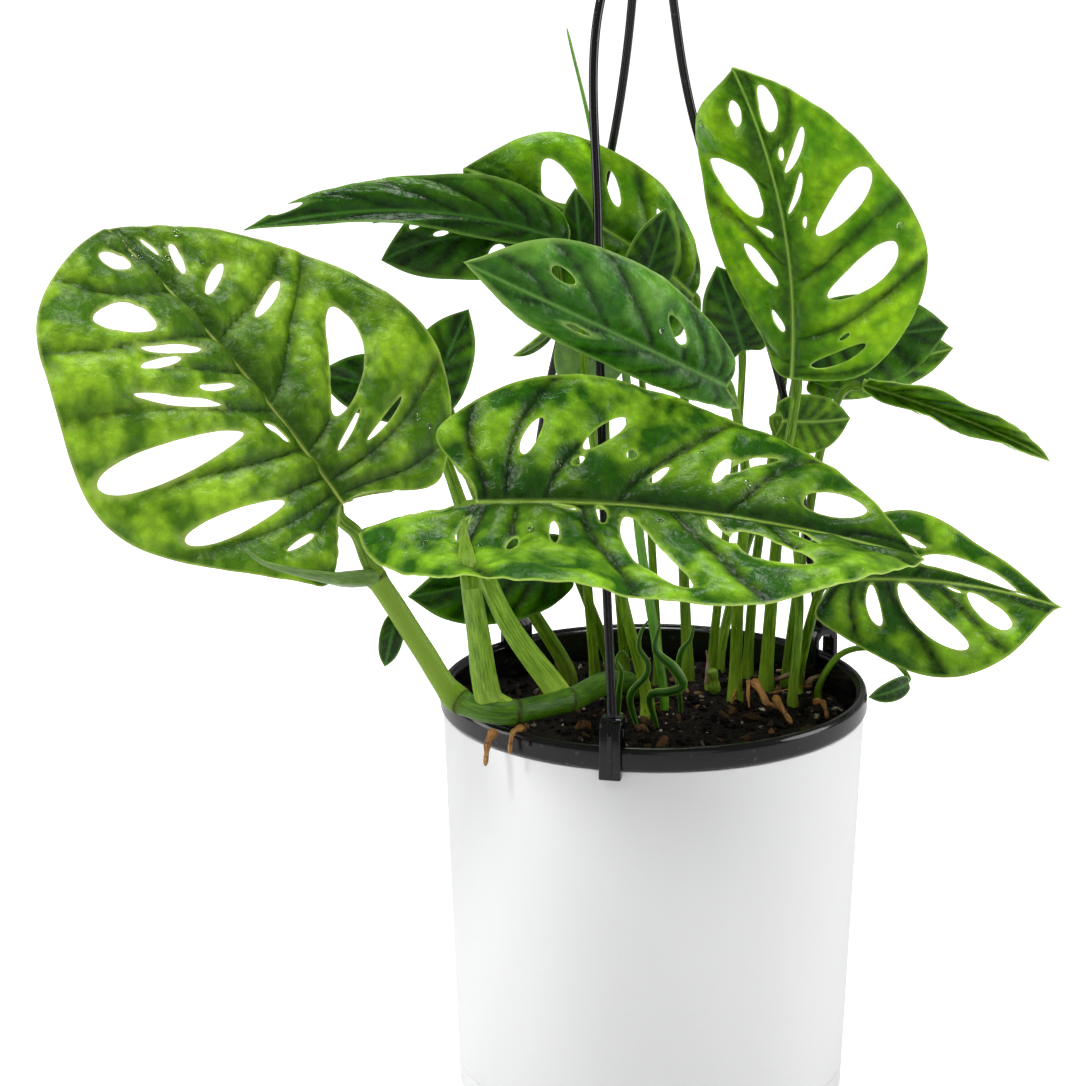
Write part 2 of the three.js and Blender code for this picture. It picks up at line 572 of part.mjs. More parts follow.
const NURSERY_FOOT_Z = POT_FLOOR_Z + GAP;
const NURSERY_FLOOR_Z = NURSERY_FOOT_Z + NURSERY_WALL;
const NURSERY_TOP_RADIUS = RIM_RADIUS - RIM_LIP;

// Inside radius of the black nursery pot at height z.
function nurseryRadius(z) {
  return NURSERY_TOP_RADIUS - (NURSERY_TAPER * (POT_HEIGHT - z)) / POT_HEIGHT;
}

function nurseryPot() {
  const band = POT_HEIGHT - RIM_BAND;
  const outside = (z) => nurseryRadius(z) + NURSERY_WALL;
  const body = toManifold(turned([
    [0, NURSERY_FOOT_Z], [outside(NURSERY_FOOT_Z), NURSERY_FOOT_Z], [outside(band), band],
    [RIM_RADIUS - 0.3, band], [RIM_RADIUS, band + 0.8], [RIM_RADIUS, POT_HEIGHT - 0.8],
    [RIM_RADIUS - 0.8, POT_HEIGHT], [NURSERY_TOP_RADIUS + 0.6, POT_HEIGHT],
    [NURSERY_TOP_RADIUS, POT_HEIGHT - 0.8], [nurseryRadius(NURSERY_FLOOR_Z), NURSERY_FLOOR_Z],
    [0, NURSERY_FLOOR_Z],
  ]));
  let pot = body;
  for (let k = 0; k < DRAIN_HOLES; k++) {
    const a = (2 * Math.PI * k) / DRAIN_HOLES;
    const drill = new THREE.CylinderGeometry(DRAIN_RADIUS, DRAIN_RADIUS, 6, 8).rotateX(Math.PI / 2);
    const out = 0.62 * nurseryRadius(0);
    drill.translate(out * Math.cos(a), out * Math.sin(a), NURSERY_FOOT_Z);
    pot = pot.subtract(toManifold(drill));
  }
  return finish('nursery_pot', fromManifold(pot), 'black_plastic');
}

function soil() {
  const foot = NURSERY_FLOOR_Z + GAP;
  return finish('soil', turned([
    [0, foot], [nurseryRadius(foot) - GAP, foot], [nurseryRadius(SOIL_TOP) - GAP, SOIL_TOP],
    [0, SOIL_TOP],
  ]), 'soil');
}

// ---------------------------------------------------------------- hanger

// One strand with the clip that is moulded on its lower end. The clip straddles the rim: an outer
// plate with a foot under the band, an arch over the rim, and an inner leg.
function strand(name, { around, bow, end }) {
  const legEnd = POT_HEIGHT - CLIP_INNER_REACH;
  const flats = Math.cos(Math.PI / POT_FACETS); // how near a flat of the faceted pot comes to its axis
  const sagitta = nurseryRadius(legEnd) - Math.sqrt(nurseryRadius(legEnd) ** 2 - (CLIP_WIDTH / 2) ** 2);
  const inner = nurseryRadius(legEnd) * flats - sagitta - GAP;
  const outer = RIM_RADIUS + GAP;
  const under = POT_HEIGHT - RIM_BAND - GAP;
  const arch = POT_HEIGHT + CLIP_ARCH;
  const footIn = bodyRadius(under) + GAP;
  const outline = new THREE.Shape([
    [footIn, under - CLIP_FOOT], [outer + CLIP_PLATE, under - CLIP_FOOT],
    [outer + CLIP_PLATE, arch - 4], [outer, arch], [inner, arch], [inner - CLIP_PLATE, arch - 4],
    [inner - CLIP_PLATE, legEnd], [inner, legEnd],
    [inner, arch - 5], [inner + 1.4, arch - 3], [outer - 1.4, arch - 3], [outer, arch - 5],
    [outer, under], [footIn, under],
  ].map(([r, z]) => new THREE.Vector2(r, z)));
  const clip = new THREE.ExtrudeGeometry(outline, { depth: CLIP_WIDTH, bevelEnabled: false });
  clip.translate(0, 0, -CLIP_WIDTH / 2).rotateX(Math.PI / 2);
  const a = rad(around - 90);
  clip.rotateZ(a);
  const middle = (inner + outer) / 2;
  const foot = [middle * Math.cos(a), middle * Math.sin(a), arch - 2];
  const head = [
    HEAD_CENTRE[0] + STRAND_PITCH_RADIUS * Math.cos(rad(end)),
    HEAD_CENTRE[1] + STRAND_PITCH_RADIUS * Math.sin(rad(end)),
    HEAD_BASE_Z - GAP - STRAND_RADIUS / 2,
  ];
  const cord = taperedStalk([foot, ...bow.map(place), head], STRAND_RADIUS, STRAND_RADIUS, 9);
  const moulding = toManifold(clip).add(toManifold(cord));
  return finish(`hanger_strand_${name}`, fromManifold(moulding), 'black_plastic');
}

// The head that the strands snap into, with the hook that grows out of it.
function hangerHook() {
  const [x, y] = HEAD_CENTRE;
  const top = HEAD_BASE_Z + HEAD_HEIGHT;
  const head = turned([
    [0, HEAD_BASE_Z], [HEAD_RADIUS, HEAD_BASE_Z], [HEAD_RADIUS, HEAD_BASE_Z + 5],
    [HOOK_WIRE + 1, top], [0, top],
  ], 16).translate(x, y, 0);
  const bend = top + HOOK_SHANK;
  const way = [new THREE.Vector3(x, y, top - 3), new THREE.Vector3(x, y, bend - 5)];
  for (let k = 0; k <= 6; k++) {
    const a = Math.PI - (k / 6) * rad(215);
    way.push(new THREE.Vector3(x + HOOK_RADIUS * (1 + Math.cos(a)), y, bend + HOOK_RADIUS * Math.sin(a)));
  }
  const section = new THREE.Shape();
  section.absarc(0, 0, HOOK_WIRE, 0, 2 * Math.PI);
  const wire = new THREE.ExtrudeGeometry(section, {
    steps: 18, curveSegments: 4, bevelEnabled: false,
    extrudePath: new THREE.CatmullRomCurve3(way, false, 'centripetal'),
  });
  return finish('hanger_hook', fromManifold(toManifold(head).add(toManifold(wire))), 'black_plastic');
}

// ---------------------------------------------------------------- the plant in its pot

const plant = new THREE.Group();
plant.name = 'potted_monstera';
plant.add(saucer(), coverPot(), nurseryPot(), soil(), hangerHook());
for (const [name, spec] of Object.entries(STRANDS)) plant.add(strand(name, spec));
plant.add(finish('vine', taperedStalk(fromSoil(VINE_ROOT, VINE_WAY), VINE_FOOT, VINE_NECK, 16), 'stalk'));
for (const [name, leaf] of Object.entries(LEAVES)) plant.add(blade(name, leaf));
for (const [name, spec] of Object.entries(STALKS)) plant.add(stalk(name, spec));
for (const [name, { foot, neck, root, way }] of Object.entries(ROLLED)) {
  plant.add(finish(name, taperedStalk(fromSoil(root, way), foot, neck, 9), 'new_leaf'));
}
for (const [name, { foot, neck, way }] of Object.entries(ROOTS)) {
  plant.add(finish(name, taperedStalk(way.map(place), foot, neck, 3), 'root'));
}

export default plant;
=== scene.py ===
"""Potted Swiss cheese vine: the finished looks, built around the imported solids."""

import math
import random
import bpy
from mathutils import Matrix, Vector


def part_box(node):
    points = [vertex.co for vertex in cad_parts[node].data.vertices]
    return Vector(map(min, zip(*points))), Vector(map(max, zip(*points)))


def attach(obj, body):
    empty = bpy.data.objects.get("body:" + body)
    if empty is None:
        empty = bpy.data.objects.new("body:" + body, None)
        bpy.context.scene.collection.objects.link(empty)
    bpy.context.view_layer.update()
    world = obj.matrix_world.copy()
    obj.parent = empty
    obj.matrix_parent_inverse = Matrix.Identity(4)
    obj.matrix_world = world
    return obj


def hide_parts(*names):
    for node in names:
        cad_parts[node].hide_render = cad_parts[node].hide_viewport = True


bl_info = {
    "name": "Potted Swiss cheese vine",
    "version": (1, 0, 0),
    "blender": (4, 5, 0),
    "location": "3D View > Sidebar > Monstera",
    "description": "Models the holed leaves, stems, pot, soil and strand hanger of a small potted vine",
    "category": "Add Mesh",
}

import bpy
import numpy as np
from mathutils import Matrix, Vector, geometry, noise

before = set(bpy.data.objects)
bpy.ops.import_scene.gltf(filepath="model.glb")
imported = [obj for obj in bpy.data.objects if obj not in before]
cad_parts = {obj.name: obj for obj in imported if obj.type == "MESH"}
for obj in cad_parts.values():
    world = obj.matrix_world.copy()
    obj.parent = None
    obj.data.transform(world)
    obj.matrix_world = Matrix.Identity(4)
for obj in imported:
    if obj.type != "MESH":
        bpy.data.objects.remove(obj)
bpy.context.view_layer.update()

MM = 0.001
RIM_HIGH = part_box("nursery_pot")[1]
RIM_RADIUS = RIM_HIGH.x
POT_HEIGHT = RIM_HIGH.z
SOIL_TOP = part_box("soil")[1].z
SAUCER_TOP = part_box("saucer")[1].z
COVER_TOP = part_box("cover_pot")[1].z
COVER_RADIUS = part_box("cover_pot")[1].x
SAUCER_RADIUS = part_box("saucer")[1].x

# The camera, in metres and degrees below level, and the studio's lights: place, width, power.
CAMERA_PLACE = (-0.0388, -1.0634, 0.4812)
CAMERA_TILT = 14.79
WORLD_LIGHT = 0.25
LIGHTS = [
    ("key", (-0.9, -0.8, 1.5), 0.35, 12),
    ("side_left", (-1.5, 0.1, 0.5), 0.9, 8),
    ("side_right", (1.5, -0.1, 0.6), 0.9, 10),
    ("front", (0.5, -1.8, 0.6), 1.2, 2),
    ("top", (0.1, 0.4, 1.6), 0.6, 10),
]

# The rim clip, in millimetres: radius of its inner and outer faces, and its height above the rim.
CLIP_INNER = 69.2
CLIP_OUTER = 75.3
CLIP_ARCH = 10
HEAD_PLACE = (-4, 0)

# The soil's underside, in millimetres above the floor, and its lumps: share and width of each size.
SOIL_FOOT = 6.2
SOIL_WAVES = [(0.5, 19), (0.45, 6.5), (0.3, 2.6), (0.16, 1.2)]

# How much of the full quilting each finish of leaf has.
SWELL = {"quilted": 1.0, "mottled": 0.8, "vivid": 0.8}
PLAIN_SWELL = 0.6

# How far above and below a blade its surface is looked for when a drop is laid on it.
DROP_SEARCH = 8 * MM

# Stalks wrapped in a broad sheath: how flat they are and how many ridges they have.
SHEATHED = {"front_big": (0.62, 3), "behind_left_a": (0.7, 9)}
# The free end of the front leaf's sheath: places in millimetres above the rim, and its widths.
SHEATH_TIP = [
    (-60.8, -126, 69), (-61.2, -124.5, 72.8), (-62.3, -119.3, 76.5), (-63.2, -105.8, 79.6),
    (-63.7, -95.6, 84.4),
]
SHEATH_TIP_WIDTHS = [5.0, 5.4, 4.2, 2.2, 0.3]


def half(wide, lobe, lean, point, fold, roll, wave, cleft=150):
    """One half of a blade: greatest width, reach back past the stalk, where it is widest, how sharp
    its tip is, its slope at the midrib and how much that changes by the margin, its ripple, and
    where round the outline (0 tip, 180 base) the cleft at the stalk starts."""
    return dict(
        wide=wide, lobe=lobe, lean=lean, point=point, fold=fold, roll=roll, wave=wave, cleft=cleft,
    )


def small(base, tip, across, wide_left, wide_right, lobe, finish):
    """A plain little leaf without holes."""
    return dict(
        base=base, tip=tip, across=across,
        arch=2, sag=0, curl=0, twist=0, waves=2, phase=0, finish=finish,
        left=half(wide_left, lobe, 0.2, 1.1, 8, -16, 0),
        right=half(wide_right, lobe, 0.2, 1.1, 8, -16, 0),
    )


# Places are [x, y, height above the rim] in millimetres. A hole is (along, out, half its size along,
# half its size out, slant), as parts of its half of the blade.
LEAVES = {
    "left_big": dict(
        base=(-104, -62, 80), tip=(-182, -30, 165), across=(-0.5, -0.85, -0.1),
        arch=4, sag=0, curl=0, twist=6, waves=2, phase=-0.6, finish="quilted",
        left=half(75, 28, -0.2, 0.2, 10, -60, 9),
        right=half(66, 20, 0.2, 0.7, 10, 15, -3),
        holes_left=[
            (0.91, 0.58, 0.02, 0.18, 0), (0.79, 0.56, 0.03, 0.18, 0),
            (0.73, 0.36, 0.01, 0.18, 0), (0.7, 0.47, 0.01, 0.11, -0.1),
            (0.64, 0.26, 0.01, 0.1, 0), (0.62, 0.48, 0.01, 0.18, 0.1),
            (0.52, 0.63, 0.03, 0.33, 0), (0.5, 0.11, 0.03, 0.03, 0.6),
            (0.35, 0.67, 0.03, 0.23, 0.1), (0.22, 0.68, 0.01, 0.1, 0.2),
        ],
        holes_right=[
            (0.89, 0.71, 0.01, 0.1, 0.1), (0.84, 0.65, 0.01, 0.18, 0),
            (0.78, 0.56, 0.01, 0.18, -0.1), (0.68, 0.61, 0.01, 0.16, -0.1),
            (0.5, 0.54, 0.05, 0.24, 0.2), (0.34, 0.53, 0.01, 0.16, 0.1),
            (0.38, 0.29, 0.01, 0.12, 0.2),
        ],
    ),
    "front_big": dict(
        base=(-60, -88, 87), tip=(83, -87, 68), across=(0.1, 0.7, 0.75),
        arch=3, sag=5, curl=0, twist=-24, waves=1.5, phase=-1, finish="mottled",
        left=half(46, 25, 0.1, 1.4, 10, -10, 7),
        right=half(53, 36.5, 0, 0.6, 11.5, 26, 12, 172),
        holes_left=[
            (0.32, 0.52, 0.02, 0.13, 0.1), (0.46, 0.55, 0.02, 0.15, 0.1),
            (0.44, 0.32, 0.01, 0.04, 0.1), (0.53, 0.41, 0.01, 0.04, -0.1),
            (0.67, 0.47, 0.01, 0.14, -0.1), (0.68, 0.64, 0.01, 0.18, 0),
            (0.8, 0.71, 0.03, 0.21, 0), (0.6, 0.28, 0.01, 0.08, 0),
        ],
        holes_right=[
            (0.44, 0.05, 0.02, 0.03, 0.6), (0.412, 0.31, 0.01, 0.11, 0),
            (0.327, 0.48, 0.011, 0.08, 0), (0.172, 0.42, 0.012, 0.15, 0.2),
            (0.52, 0.1, 0.01, 0.08, 0), (0.567, 0.48, 0.03, 0.33, 0),
            (0.708, 0.27, 0.011, 0.14, 0), (0.743, 0.49, 0.032, 0.27, 0),
            (0.828, 0.31, 0.011, 0.14, 0),
        ],
    ),
    "upper_right": dict(
        base=(46, -2, 109), tip=(23, -21, 217), across=(-0.9, 0.45, -0.1),
        arch=-4, sag=-6, curl=0, twist=-2, waves=2, phase=-0.4, finish="vivid",
        left=half(31, 0, -0.4, 1.4, -25, 20, -6),
        right=half(46, 5, 0.2, 0.4, 5, -20, 4),
        holes_left=[
            (0.84, 0.72, 0.03, 0.1, 0), (0.68, 0.56, 0.05, 0.32, -0.1),
            (0.64, 0.28, 0.01, 0.12, -0.1), (0.53, 0.39, 0.03, 0.2, 0),
            (0.39, 0.25, 0.03, 0.1, 0.1),
        ],
        holes_right=[
            (0.88, 0.61, 0.03, 0.29, 0), (0.79, 0.52, 0.01, 0.26, 0),
            (0.82, 0.33, 0.01, 0.06, 0), (0.74, 0.28, 0.01, 0.17, 0.1),
            (0.68, 0.26, 0.01, 0.03, 0.2), (0.64, 0.64, 0.03, 0.3, 0),
            (0.48, 0.57, 0.04, 0.28, 0), (0.32, 0.44, 0.01, 0.04, 0.1),
            (0.23, 0.45, 0.04, 0.22, 0.1),
        ],
    ),
    "middle": dict(
        base=(22, -38, 114), tip=(-63, -96, 165), across=(-0.55, 0.05, -0.85),
        arch=7, sag=-2, curl=1, twist=0, waves=2, phase=0, finish="sheen",
        left=half(11, 18, -0.1, 1.2, 20, -50, 0),
        right=half(23, 3, -0.2, 1.2, -10, -20, 2),
        holes_left=[
            (0.72, 0.48, 0.03, 0.08, 0),
        ],
        holes_right=[
            (0.76, 0.65, 0.02, 0.11, 0), (0.48, 0.41, 0.03, 0.17, 0),
        ],
    ),
    "back_arch": dict(
        base=(14, 34, 131), tip=(-66, 13, 179), across=(-0.3, -0.12, -0.95),
        arch=12, sag=-5, curl=0, twist=0, waves=2, phase=-0.8, finish="vivid",
        left=half(26, 8, 0.1, 0.6, 0, 0, 0),
        right=half(26, 0, -0.1, 0.9, -5, -20, -5),
        holes_right=[
            (0.785, 0.4, 0.045, 0.33, -0.09), (0.615, 0.54, 0.018, 0.2, -0.1),
            (0.45, 0.5, 0.02, 0.14, 0),
        ],
    ),
    "left_long": dict(
        base=(-30, -14, 158), tip=(-137, -34, 165), across=(0, -0.55, -0.85),
        arch=8, sag=-6, curl=-1, twist=0, waves=2, phase=0.5, finish="deep",
        left=half(5.5, 3, 0.4, 1.4, 10, -30, 2),
        right=half(13.5, 4, 0.4, 0.9, 12, -28, -4),
        holes_right=[
            (0.8, 0.94, 0.04, 0.08, 0),
        ],
    ),
    "left_low": dict(
        base=(-37, 2, 152), tip=(-93, -14, 152), across=(0.05, -0.15, -1),
        arch=4, sag=-7, curl=0, twist=0, waves=2, phase=0, finish="deep",
        left=half(15, 4, 0.1, 1, 0, -10, 0),
        right=half(17, 4, 0.2, 0.8, 0, -20, 0),
        holes_left=[
            (0.53, 0.32, 0.04, 0.16, 0),
        ],
        holes_right=[
            (0.76, 0.82, 0.03, 0.1, 0), (0.79, 0.24, 0.025, 0.12, 0), (0.67, 0.22, 0.03, 0.12, 0),
        ],
    ),
    "right_narrow": dict(
        base=(72, 12, 104), tip=(142, 30, 73), across=(0.2, 0.55, 0.8),
        arch=4, sag=0, curl=2, twist=0, waves=3.5, phase=0, finish="vivid",
        left=half(9, 3, 0.2, 1.1, 75, 0, 2),
        right=half(6, 3, 0.2, 1.1, 20, 0, 2),
    ),
    "bottom_right": dict(
        base=(62, 6, 35), tip=(142, -3, 28), across=(0.1, 0.65, 0.75),
        arch=3, sag=3, curl=0, twist=-8, waves=2, phase=-1.3, finish="mottled",
        left=half(24, 17, 0.4, 2, -5, 0, -7),
        right=half(34, 9, -0.2, 2, 5, -20, 4),
        holes_left=[
            (0.48, 0.63, 0.06, 0.06, -0.6), (0.7, 0.51, 0.12, 0.21, 0.3),
            (0.87, 0.5, 0.02, 0.12, 0),
        ],
        holes_right=[
            (0.72, 0.12, 0.01, 0.06, 0.2), (0.76, 0.51, 0.03, 0.31, 0),
            (0.59, 0.42, 0.05, 0.37, 0.1), (0.41, 0.34, 0.03, 0.26, 0),
        ],
    ),
    "small_a": small((-26, -4, 151), (-28, -4, 175), (-1, 0, -0.1), 6, 6, 3, "deep"),
    "small_b": small((-30.4, -1, 149.6), (-34.4, -1, 167.6), (-0.95, 0, -0.25), 4, 4, 2, "deep"),
    "back_dark": small((-6, 8, 137), (3, 4, 167), (-0.95, -0.2, 0.25), 9, 9, 4, "deep"),
    "behind_left_a": small((-78, -2, 100), (-64, -6, 134), (-0.85, 0.25, 0.4), 12, 10, 4, "deep"),
    "behind_left_b": small((-76, 14, 100), (-117, 8, 109), (-0.25, 0, -0.95), 12, 12, 4, "deep"),
    "right_dark": small((53, 26, 118), (104, 34, 120), (0, -0.15, 1), 15, 20, 5, "deep"),
    "right_bright": small((56, 34, 104), (107, 42, 111), (-0.05, -0.35, 0.95), 16, 13, 5, "vivid"),
    "under_right": small((45, 18, 90), (69, 22, 90), (0.05, -0.15, 1), 10, 12, 4, "vivid"),
    "mid_dark": small((31, 22, 114), (21, 16, 145), (-0.95, -0.15, -0.35), 11, 12, 4, "deep"),
    "small_left": small((-34, -4, 129), (-49, -12, 119), (0.05, 0.75, -0.65), 4, 5, 2, "vivid"),
    "under_mid": small((-17, -2, 127), (-30, -13, 105), (-0.8, -0.2, 0.55), 13, 13, 4, "deep"),
    "low_dark": small((-31, 22, 38), (-86, 0, 31), (0.05, 0.15, -1), 17, 14, 6, "deep"),
    "curl_left": small((-88, -44, 37), (-92, -44, 19), (1, 0, -0.2), 4, 4, 1, "deep"),
    "rim_small": small((91, 12, -4), (76, 4, -7), (0.2, 0.05, -1), 4, 4, 1, "deep"),
}

# Where each stalk passes on the way to its leaf, with its radius at the foot and at the leaf.
STALKS = {
    "left_big": dict(foot=2.9, neck=2.2, way=[(-93, -51.5, 50), (-96.5, -53.5, 58), (-100, -58, 69)]),
    "front_big": dict(
        foot=4.9, neck=2.6,
        way=[(-50, -51.5, 4.5), (-56.5, -51, 9), (-58.5, -52, 17), (-60, -60, 33), (-63, -76, 64)],
    ),
    "upper_right": dict(foot=2.6, neck=1.6, root=(42, 33), way=[(43, 28, 21), (45, 14, 68)]),
    "middle": dict(foot=2.4, neck=1.5, root=(30, 20), way=[(30, 10, 30), (30, -16, 80)]),
    "back_arch": dict(foot=2.2, neck=1.5, root=(14, 44), way=[(12, 50, 40), (12, 46, 95)]),
    "left_long": dict(foot=2.2, neck=1.5, root=(-2, 2), way=[(-13, -8, 40), (-24, -16, 108)]),
    "left_low": dict(foot=2.0, neck=1.3, root=(-20, 28), way=[(-24, 16, 40), (-31, 4, 112)]),
    "small_a": dict(foot=1.7, neck=1.0, root=(-3, 27), way=[(-13, 18, 40), (-20, 4, 112)]),
    "back_dark": dict(foot=1.8, neck=1.0, root=(3, 33), way=[(0, 22, 40), (-4, 11, 100)]),
    "behind_left_a": dict(
        foot=4.4, neck=1.7, way=[(-31, -33, 2.5), (-36, -29, 8.5), (-52, -22, 30), (-70, -4, 74)],
    ),
    "behind_left_b": dict(foot=3.0, neck=1.5, root=(-30, 38), way=[(-46, 34, 22), (-66, 22, 72)]),
    "right_dark": dict(foot=2.0, neck=1.3, root=(36, 44), way=[(38, 42, 30), (44, 34, 82)]),
    "right_bright": dict(foot=2.0, neck=1.3, root=(26, 52), way=[(34, 54, 30), (48, 48, 76)]),
    "right_narrow": dict(foot=2.0, neck=1.4, root=(50, 38), way=[(54, 38, 30), (61, 34, 80)]),
    "bottom_right": dict(foot=2.2, neck=1.6, root=(53, 28), way=[(54, 24, 2), (57, 14, 22)]),
    "under_right": dict(foot=1.8, neck=1.2, root=(50, 12), way=[(52, 16, 26), (47, 22, 72)]),
    "mid_dark": dict(foot=1.8, neck=1.2, root=(22, 34), way=[(25, 32, 30), (30, 28, 82)]),
    "under_mid": dict(foot=1.9, neck=1.3, root=(-9, 36), way=[(-12, 30, 30), (-17, 18, 90)]),
    "low_dark": dict(foot=2.6, neck=1.6, root=(-14, 46), way=[(-18, 42, 5), (-25, 32, 26)]),
    "rim_small": dict(foot=1.3, neck=0.9, root=(60, 20), way=[(68, 21, 4), (80, 18, 6.5)]),
}
VINE = [
    (-8, 20, -13), (-8, 20, -8), (-16, 5, -2), (-30, -30, 3), (-42, -45, 4.8), (-54, -53, 5.6),
    (-67.5, -45, 8), (-79, -47, 26), (-88, -50, 42), (-94, -52, 52), (-97, -54, 56.5),
]
# Places on the vine where an old leaf left a ring.
VINE_NODES = [(-31, -32, 3.2), (-49, -50, 5.3), (-66, -46, 7.8), (-94.5, -52.5, 53)]
ROLLED = {
    "new_leaf_left": dict(
        foot=2.9, neck=0.35,
        way=[(-93.5, -52, 52.5), (-97.2, -58, 53.7), (-101.8, -74, 57.7), (-106.2, -95, 63.9),
             (-117.9, -107, 69.8), (-126.2, -110, 73.3), (-131.8, -111, 77.9)],
    ),
    "new_leaf_top": dict(
        foot=1.7, neck=0.4, root=(4, 6),
        way=[(-5, 10, 50), (-11, 8, 114), (-19, -1, 154), (-22, -9, 190), (-31, -10, 229)],
    ),
}
ROOTS = {
    "root_rim_left": dict(foot=1.6, neck=0.5, way=[(-55, -57.5, 0.8), (-57, -60.5, -2), (-58, -62, -10)]),
    "root_rim_right": dict(foot=1.2, neck=0.5, way=[(-46, -56, 1.5), (-49, -63, 1.5), (-50, -64, -5)]),
    "root_soil_left": dict(foot=1.6, neck=0.7, way=[(44, 10, -9.5), (45, -2, -9), (48, -12, -11.6)]),
    "root_soil_right": dict(foot=1.4, neck=0.6, way=[(58, 8, -10), (60, 2, -8.5), (61, -6, -11.6)]),
}
# Thin growth lying on the soil: material, radius at each end, and its way.
SPRIGS = {
    "root_fork_1": ("root", 1.5, 0.9, [(36.7, 19, -6), (39, 11.1, -8), (41, 7.7, -10.8), (46, 5.2, -11.3)]),
    "root_fork_2": ("root", 0.8, 0.3, [(31.1, 21.4, -7), (29.8, 17.1, -9.5), (28.2, 10.8, -11.5)]),
    "root_fork_3": ("root", 0.9, 0.3, [(34.8, 20.1, -6), (34.3, 13.9, -9), (34.2, 6.2, -11.5)]),
    "root_fibre": ("root", 0.3, 0.2, [(-3, 0, -10.8), (1, 6, -10), (3.5, 10, -10.4)]),
    "root_thread": ("root", 0.3, 0.2, [(42, 18, -10), (50, 19, -8.5), (58, 24, -9)]),
    "cut_stub": ("stalk", 1.9, 1.6, [(23.2, 28.6, -14), (22.9, 28, -8), (21.9, 27.4, -4)]),
    "bud": ("bud", 1.0, 0.2, [(20.3, 30, -10), (20.6, 30, -2), (20, 30, 2.5)]),
    "twig_right": ("bark", 0.8, 0.3, [(55, 36, -11.5), (57, 40, -4), (60, 44, -1), (62, 50, -3)]),
    "twig_curl": (
        "bark", 1.0, 0.5, [(44, 36, -11.4), (48, 33, -8.6), (52, 36, -8), (50, 40, -8.2), (46, 39, -8)],
    ),
    "twig_knot": ("bark", 1.3, 0.6, [(56, 30, -11.5), (58, 28, -8), (61, 31, -7.6), (60, 34, -9.5)]),
}
# Young leaves still half folded: each ribbon's places, and its widths along them.
FOLDED = {
    "folded_1": (
        [(-6, -13, -13), (-8.5, -18, 1), (-3.3, -20, 8.7), (-2.7, -20, 13), (-5.8, -20, 18.4),
         (-5.2, -20, 24.1), (-2.8, -20, 28.1)],
        [1.0, 1.8, 2.2, 2.0, 1.6, 1.2, 0.4],
    ),
    "folded_2": (
        [(1, -12, -13), (-1.5, -19, 1.5), (4.3, -20, 2.6), (9.5, -20, 4.7), (6.4, -20, 11), (-0.2, -20, 18),
         (1.3, -20, 26.6)],
        [1.0, 1.8, 2.6, 3.0, 3.4, 2.2, 0.4],
    ),
    "folded_3": (
        [(10, 2, -13), (8.6, -5, 4), (9.5, -8, 14.1), (12.3, -8, 17.7), (13.6, -8, 23.1)],
        [0.8, 1.6, 2.2, 1.8, 0.4],
    ),
    "folded_4": (
        [(-13, -16, -13), (-12.6, -22, 4), (-12, -24, 11.7), (-13.6, -24, 15), (-11.7, -24, 18.6),
         (-9.8, -24, 16.4)],
        [0.8, 1.4, 1.8, 1.6, 1.0, 0.3],
    ),
}
# Each strand: degrees round the rim from the front, two places it passes, where it meets the head.
STRANDS = {
    "front": dict(around=-12.7, bow=[(-19, -59.5, 80), (-21, -43, 170), (-21, -24, 234)], end=-90),
    "back_left": dict(around=-137.8, bow=[(-36, 42, 100), (-15.8, 30, 180), (-8.8, 15, 235)], end=150),
    "back_right": dict(around=121, bow=[(45, 28.5, 100), (12.4, 12, 195.7), (4.8, 6.4, 236)], end=30),
}
# Water drops: the leaf, side to side over the blade (-1 to 1), along it, and the drop's radius.
DROPS = [
    ("left_big", 0.10, 0.965, 1.3), ("left_big", 0.22, 0.955, 1.0), ("left_big", -0.10, 0.97, 1.5),
    ("left_big", -0.30, 0.93, 1.1), ("left_big", -0.45, 0.90, 0.8), ("left_big", -0.16, 0.90, 0.7),
    ("left_big", -0.62, 0.86, 1.2), ("left_big", -0.90, 0.83, 1.5), ("left_big", -0.66, 0.80, 0.8),
    ("left_big", -0.74, 0.30, 1.6), ("left_big", -0.80, 0.27, 1.0), ("left_big", 0.30, 0.93, 0.8),
    ("front_big", -0.35, 0.36, 1.4), ("front_big", -0.45, 0.30, 1.0), ("front_big", -0.60, 0.27, 0.8),
    ("front_big", 0.30, 0.40, 1.2), ("front_big", 0.42, 0.72, 1.3), ("front_big", 0.55, 0.62, 0.8),
    ("front_big", -0.20, 0.62, 0.9), ("front_big", 0.42, 0.78, 1.0), ("front_big", -0.72, 0.16, 1.2),
    ("upper_right", 0.93, 0.74, 1.2), ("upper_right", 0.50, 0.60, 0.8), ("upper_right", 0.72, 0.46, 0.7),
    ("upper_right", -0.90, 0.52, 1.4), ("upper_right", -0.93, 0.42, 0.8), ("upper_right", 0.86, 0.60, 0.9),
    ("middle", -0.55, 0.62, 0.9), ("middle", -0.30, 0.56, 1.1), ("middle", -0.66, 0.42, 0.7),
    ("bottom_right", 0.62, 0.40, 1.0), ("bottom_right", -0.55, 0.50, 0.9), ("left_low", -0.45, 0.5, 0.8),
]


# ---------------------------------------------------------------- sizes and colours a user may change


